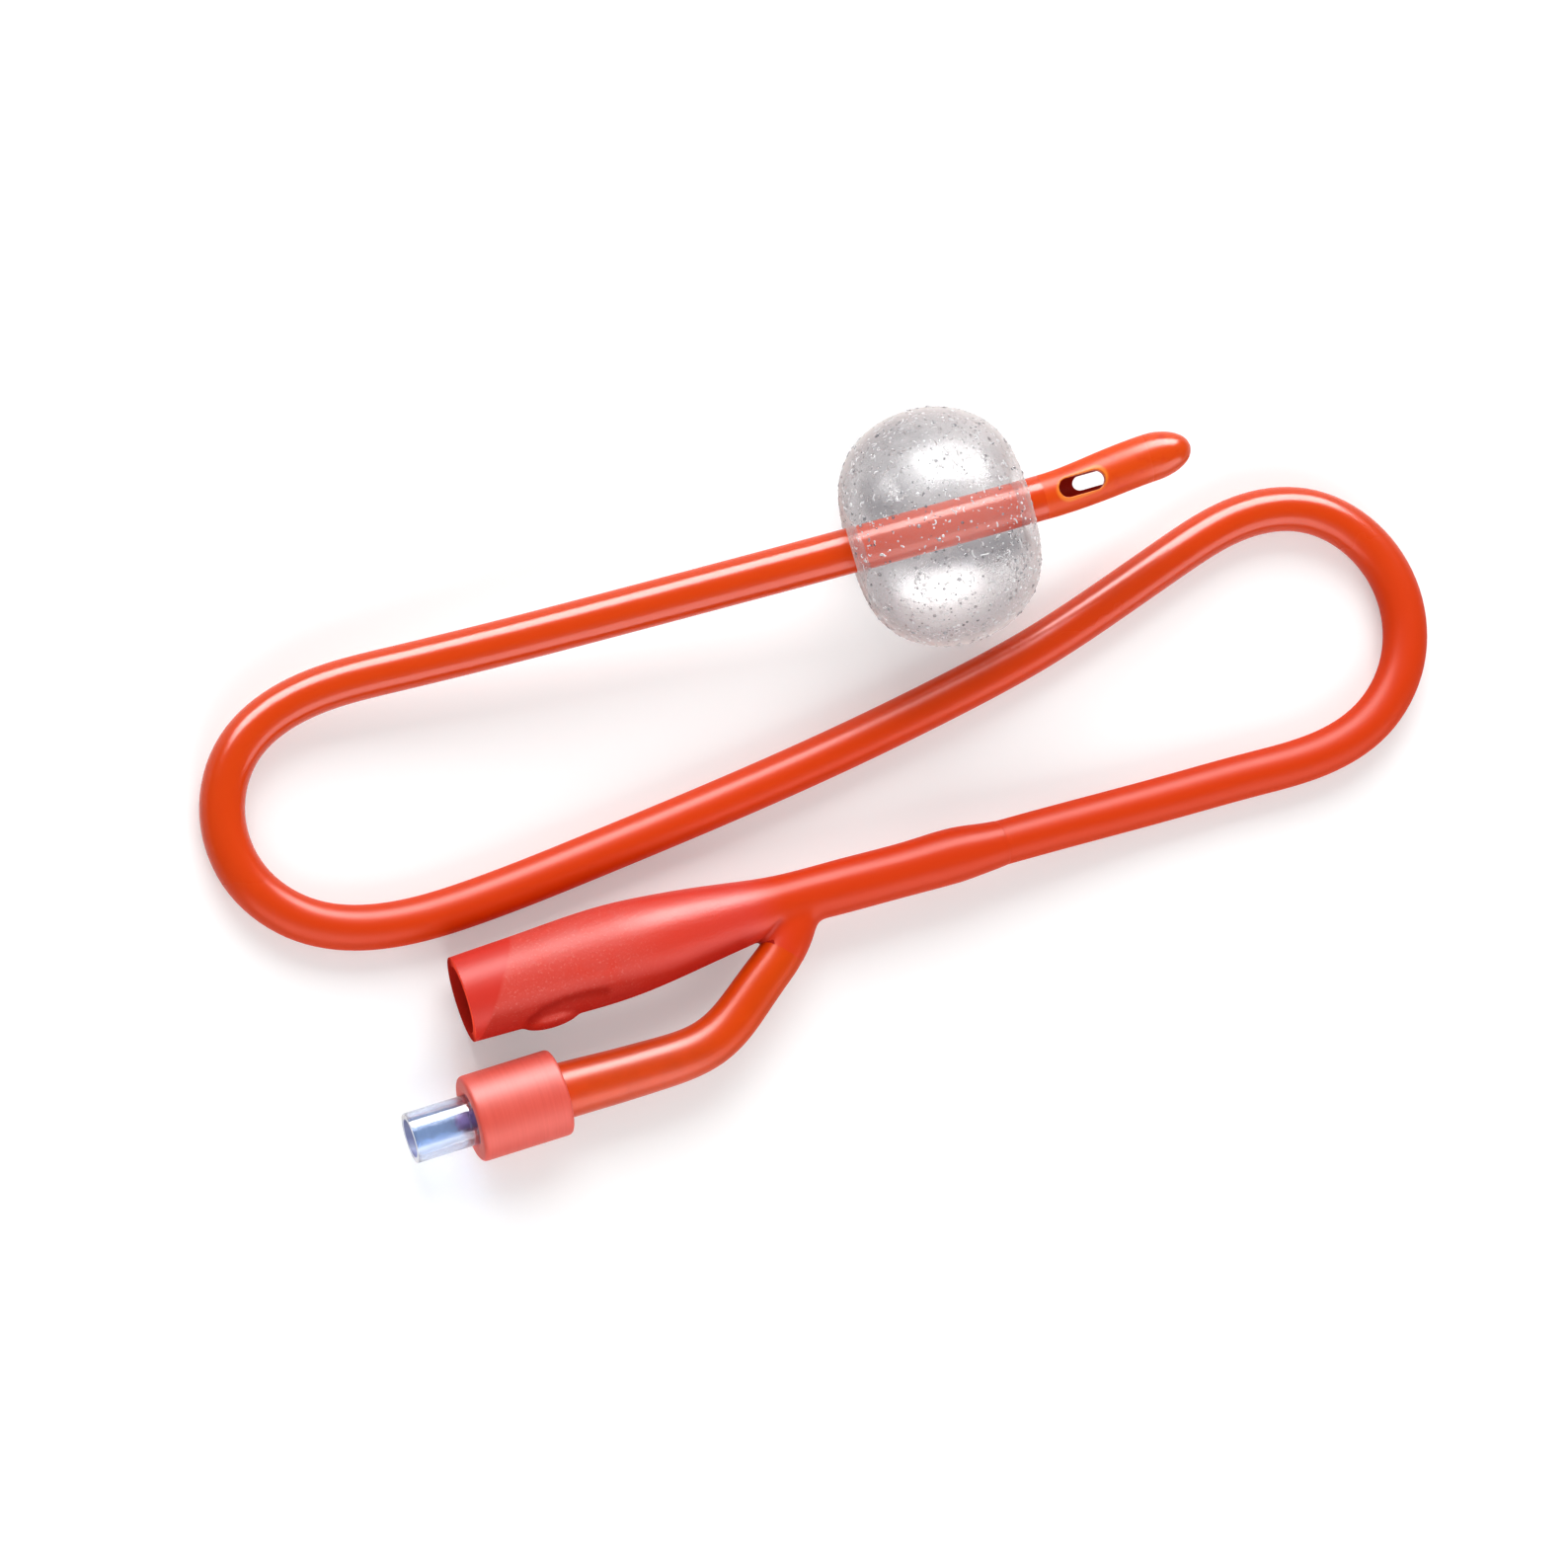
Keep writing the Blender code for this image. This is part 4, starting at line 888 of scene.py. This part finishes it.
# Inflation arm
# A glossy side tube that swells a little after its root and turns back beside the funnel.
ARM_RADIUS = 3.42 * MM
ARM_ORANGE = (0.67, 0.054, 0.001)
arm_path = arm_curve[joint - 2:]
along = (arm_path[0, 0] - arm_path[:, 0]) / (arm_path[0, 0] - arm_path[-1, 0])
arm_radii = ARM_ROOT_RADIUS + (ARM_RADIUS - ARM_ROOT_RADIUS) * along
arm = swept("side_arm", np.column_stack([arm_path, arm_radii]), sides=48)
arm_paint = glossy_latex("arm_latex", ARM_ORANGE, roughness=0.31)
near_root = arm_paint.axis("X").fade(-32 * MM, -20 * MM)
arm_paint.blend(0.6 * near_root, Base_Color=ARM_ORANGE, Specular_IOR_Level=0.0)
dress(arm, arm_paint.material)
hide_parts("inflation_arm")
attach(arm, "catheter")

# Cuff
# A thick matte sleeve of coral rubber with soft edges and fine rings left by its extrusion.
CUFF_RADIUS = 5.15 * MM
CUFF_LENGTH = 11.1 * MM
ARM_GRIP = 4.0 * MM
CUFF_CLEARANCE = 0.05 * MM
CUFF_ROUNDING = 0.6 * MM
HOUSING_RADIUS = 3.0 * MM
arm_end = Vector(ARM_ROUTE[-1]) * MM
cuff_start = Vector((arm_end.x + ARM_GRIP - CUFF_LENGTH, arm_end.y, arm_end.z))
cuff_outline = [
    (ARM_RADIUS + CUFF_CLEARANCE, CUFF_LENGTH), (CUFF_RADIUS, CUFF_LENGTH), (CUFF_RADIUS, 0.0),
    (HOUSING_RADIUS + CUFF_CLEARANCE, 0.0), (HOUSING_RADIUS + CUFF_CLEARANCE, CUFF_LENGTH - ARM_GRIP),
    (ARM_RADIUS + CUFF_CLEARANCE, CUFF_LENGTH - ARM_GRIP),
]


def rounded(outline, radius, steps=4):
    """The closed outline with each corner replaced by a small arc."""
    smooth = []
    count = len(outline)
    for i, corner in enumerate(outline):
        corner = Vector(corner)
        before = Vector(outline[i - 1]) - corner
        after = Vector(outline[(i + 1) % count]) - corner
        reach = min(radius, 0.45 * before.length, 0.45 * after.length)
        start = corner + before.normalized() * reach
        end = corner + after.normalized() * reach
        for k in range(steps + 1):
            t = k / steps
            smooth.append(start * (1 - t) ** 2 + corner * 2 * t * (1 - t) + end * t * t)
    return smooth


cuff = turned("coral_cuff", rounded(cuff_outline, CUFF_ROUNDING), 96, cuff_start, (1, 0, 0))

cuff_paint = Paint("cuff_rubber", Sheen_Weight=0.3, Sheen_Roughness=0.3, Sheen_Tint=(1.0, 0.4, 0.3),
                   Subsurface_Weight=0.15, Subsurface_Scale=0.8 * MM, IOR=1.33)
cuff_paint.shader.inputs["Subsurface Radius"].default_value = (1.0, 0.3, 0.15)
rings = cuff_paint.noise(0.35 * MM, detail=3, stretch=(1, 30, 30))
dust = cuff_paint.noise(0.12 * MM, detail=2)
cuff_tone = cuff_paint.mix((0.68, 0.07, 0.044), (0.72, 0.08, 0.052), rings.fade(0.3, 0.65))
cuff_paint.set(Base_Color=cuff_tone, Roughness=0.5 + 0.1 * (dust - 0.5))
cuff_paint.set(Normal=cuff_paint.bump(rings * 0.4 + dust * 0.3, 0.03 * MM, 0.6))
dress(cuff, cuff_paint.material)
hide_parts("valve_cuff")
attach(cuff, "catheter")

# Valve housing
# A clear plastic barrel, a little blue: the syringe's tapered bore, the seat and the chamber behind it.
HOUSING_LENGTH = 14.2 * MM
SYRINGE_BORE_RADIUS = 2.3 * MM
SYRINGE_BORE_DEPTH = 7.0 * MM
SYRINGE_TAPER = 0.03
SEAT_THICKNESS = 0.9 * MM
SEAT_HOLE_RADIUS = 1.25 * MM
CHAMBER_RADIUS = 2.2 * MM
HOUSING_ROUNDING = 0.12 * MM
bore_end = SYRINGE_BORE_RADIUS - SYRINGE_TAPER * SYRINGE_BORE_DEPTH
seat_back = SYRINGE_BORE_DEPTH + SEAT_THICKNESS
valve_start = Vector((arm_end.x - GAP - HOUSING_LENGTH, arm_end.y, arm_end.z))
housing_outline = [
    (CHAMBER_RADIUS, HOUSING_LENGTH), (HOUSING_RADIUS, HOUSING_LENGTH), (HOUSING_RADIUS, 0.0),
    (SYRINGE_BORE_RADIUS, 0.0), (SYRINGE_BORE_RADIUS - SYRINGE_TAPER * MM, 1.0 * MM),
    (SYRINGE_BORE_RADIUS - 1.3 * SYRINGE_TAPER * MM, 1.3 * MM), (bore_end, SYRINGE_BORE_DEPTH),
    (SEAT_HOLE_RADIUS, SYRINGE_BORE_DEPTH),
    (SEAT_HOLE_RADIUS, seat_back), (CHAMBER_RADIUS, seat_back),
]
housing = turned("clear_barrel", rounded(housing_outline, HOUSING_ROUNDING), 96, valve_start, (1, 0, 0))
housing_points = points_of(housing) - np.array(valve_start)
in_bore = np.hypot(housing_points[:, 1], housing_points[:, 2]) < SYRINGE_BORE_RADIUS + 0.05 * MM
store_mask(housing, "bore", in_bore)
store_mask(housing, "rim", housing_points[:, 0] < 0.03 * MM)

clear_paint = Paint("clear_plastic", IOR=1.45, Transmission_Weight=1.0, Alpha=0.8)
# Painted dark reflection: the clear plastic is a darker steel blue on the bore's faces.
clear_tone = clear_paint.mix(srgb(208, 218, 242), srgb(108, 138, 172), clear_paint.mask("bore"))
clear_paint.set(Base_Color=clear_tone, Roughness=0.03 + 0.05 * clear_paint.noise(2 * MM))
# Painted shade in the mouth: a dark, rough blue-grey on the bore's near end, reaching deeper on its lower
# side.
throat_edge = clear_paint.axis("X") - valve_start.x + 0.5 * (clear_paint.axis("Z") - valve_start.z)
throat = clear_paint.mask("bore") * (1 - throat_edge.fade(-0.1 * MM, 0.1 * MM))
clear_paint.blend(0.85 * throat, Base_Color=srgb(84, 80, 116), Roughness=0.6)
# A painted highlight: the mouth's rim face is half mixed to white.
clear_paint.blend(0.5 * clear_paint.mask("rim"), Base_Color=(0.9, 0.9, 0.92), Roughness=0.3)
dress(housing, clear_paint.material)
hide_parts("valve_housing")
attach(housing, "catheter")


# Valve's inner pieces
# The plunger, the seal and the retainer keep their own solids and get finished materials: lilac and white
# moulded plastic and black rubber, each with a fine speckle. The spring's wire gets its own here too.
def inner_paint(name, colour, roughness, metallic=0.0):
    paint = Paint(name, Metallic=metallic)
    speck = paint.noise(0.2 * MM, detail=3)
    paint.set(Base_Color=paint.mix(tuple(c * 0.85 for c in colour), colour, speck))
    paint.set(Roughness=roughness + 0.1 * (speck - 0.5))
    return paint.material


inner_materials = {
    "valve_plunger": inner_paint("moulded_lilac", (0.46, 0.22, 0.36), 0.4),
    "spring_retainer": inner_paint("moulded_white_plug", (0.82, 0.84, 0.88), 0.32),
    "valve_seal": inner_paint("black_rubber", (0.05, 0.05, 0.06), 0.55),
}
spring_material = inner_paint("spring_wire", (0.62, 0.62, 0.64), 0.25, metallic=1.0)
for node, material in inner_materials.items():
    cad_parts[node].data.materials.clear()
    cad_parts[node].data.materials.append(material)

# Valve spring
# A helix of bright wire between the plunger's head and the retainer.
SPRING_FROM_MOUTH = 10.25 * MM
SPRING_LENGTH = 2.7 * MM
SPRING_COIL_RADIUS = 1.25 * MM
SPRING_WIRE_RADIUS = 0.15 * MM
SPRING_TURNS = 3.5
SPRING_STEPS = 168
spring_rise = SPRING_LENGTH - 2 * SPRING_WIRE_RADIUS
helix = []
for i in range(SPRING_STEPS + 1):
    turn = 2 * math.pi * SPRING_TURNS * i / SPRING_STEPS
    helix.append((valve_start.x + SPRING_FROM_MOUTH + SPRING_WIRE_RADIUS + spring_rise * i / SPRING_STEPS,
                  valve_start.y + SPRING_COIL_RADIUS * math.cos(turn),
                  valve_start.z + SPRING_COIL_RADIUS * math.sin(turn)))
spring = swept("wire_spring", np.array(helix), sides=12, radius=SPRING_WIRE_RADIUS)
dress(spring, spring_material)
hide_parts("valve_spring")
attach(spring, "catheter")
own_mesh(spring)

# Table and light
# A white table that shows white to the camera and keeps the shadow, a long strip light on each side of the
# tube that only glossy surfaces reflect, and two broad washes of soft light.
TABLE_HALF_SIDE = 6.0
WORLD_STRENGTH = 0.35
STRIP_DISTANCE = 1.0
WASH_DISTANCE = 1.4
WASH_WIDTH = 1.1
WASH_HEIGHT = 1.0

table_top = bmesh.new()
bmesh.ops.create_grid(table_top, x_segments=1, y_segments=1, size=TABLE_HALF_SIDE)
table = object_from("table", table_top)
table_paint = Paint("table_white", Base_Color=(0.75, 0.75, 0.75), Roughness=0.9, Specular_IOR_Level=0.1)
seen = table_paint.node("ShaderNodeLightPath", "Is Camera Ray")
for ray in ("Is Glossy Ray", "Is Transmission Ray"):
    seen = seen + table_paint.node("ShaderNodeLightPath", ray)
glow = table_paint.mix((0, 0, 0), (0.3, 0.3, 0.3), seen.clamped())
table_paint.set(Emission_Color=glow, Emission_Strength=1.0)
table.data.materials.append(table_paint.material)

world = bpy.data.worlds.new("studio")
world.use_nodes = True
scene.world = world
sky = world.node_tree.nodes["Background"]
sky.inputs["Color"].default_value = (1, 1, 1, 1)
sky.inputs["Strength"].default_value = WORLD_STRENGTH


def softbox(name, bearing, lean, distance, width, height, radiance):
    """A soft lamp aimed at the object, from a bearing and a lean off the vertical, in degrees."""
    lamp = bpy.data.lights.new(name, "AREA")
    lamp.shape = "RECTANGLE"
    lamp.size = width
    lamp.size_y = height
    lamp.energy = radiance * math.pi * width * height
    obj = add_object(name, lamp)
    bearing = math.radians(bearing)
    lean = math.radians(lean)
    way = Vector((math.sin(lean) * math.cos(bearing), math.sin(lean) * math.sin(bearing), math.cos(lean)))
    right = Vector((0, 0, 1)).cross(way).normalized()
    facing = Matrix((right, way.cross(right), way)).transposed().to_4x4()
    obj.matrix_world = Matrix.Translation(way * distance) @ facing
    return obj


strips = (
    softbox("far_strip", 80, 59, STRIP_DISTANCE, width=1.9, height=0.61, radiance=36.0),
    softbox("near_strip", -92, 75, STRIP_DISTANCE, width=2.4, height=0.9, radiance=7.0),
)
for strip in strips:
    strip.visible_diffuse = False
washes = (
    softbox("far_wash", 80, 50, WASH_DISTANCE, WASH_WIDTH, WASH_HEIGHT, radiance=5.3),
    softbox("near_wash", -95, 50, WASH_DISTANCE, WASH_WIDTH, WASH_HEIGHT, radiance=2.8),
)
for wash in washes:
    wash.visible_glossy = False
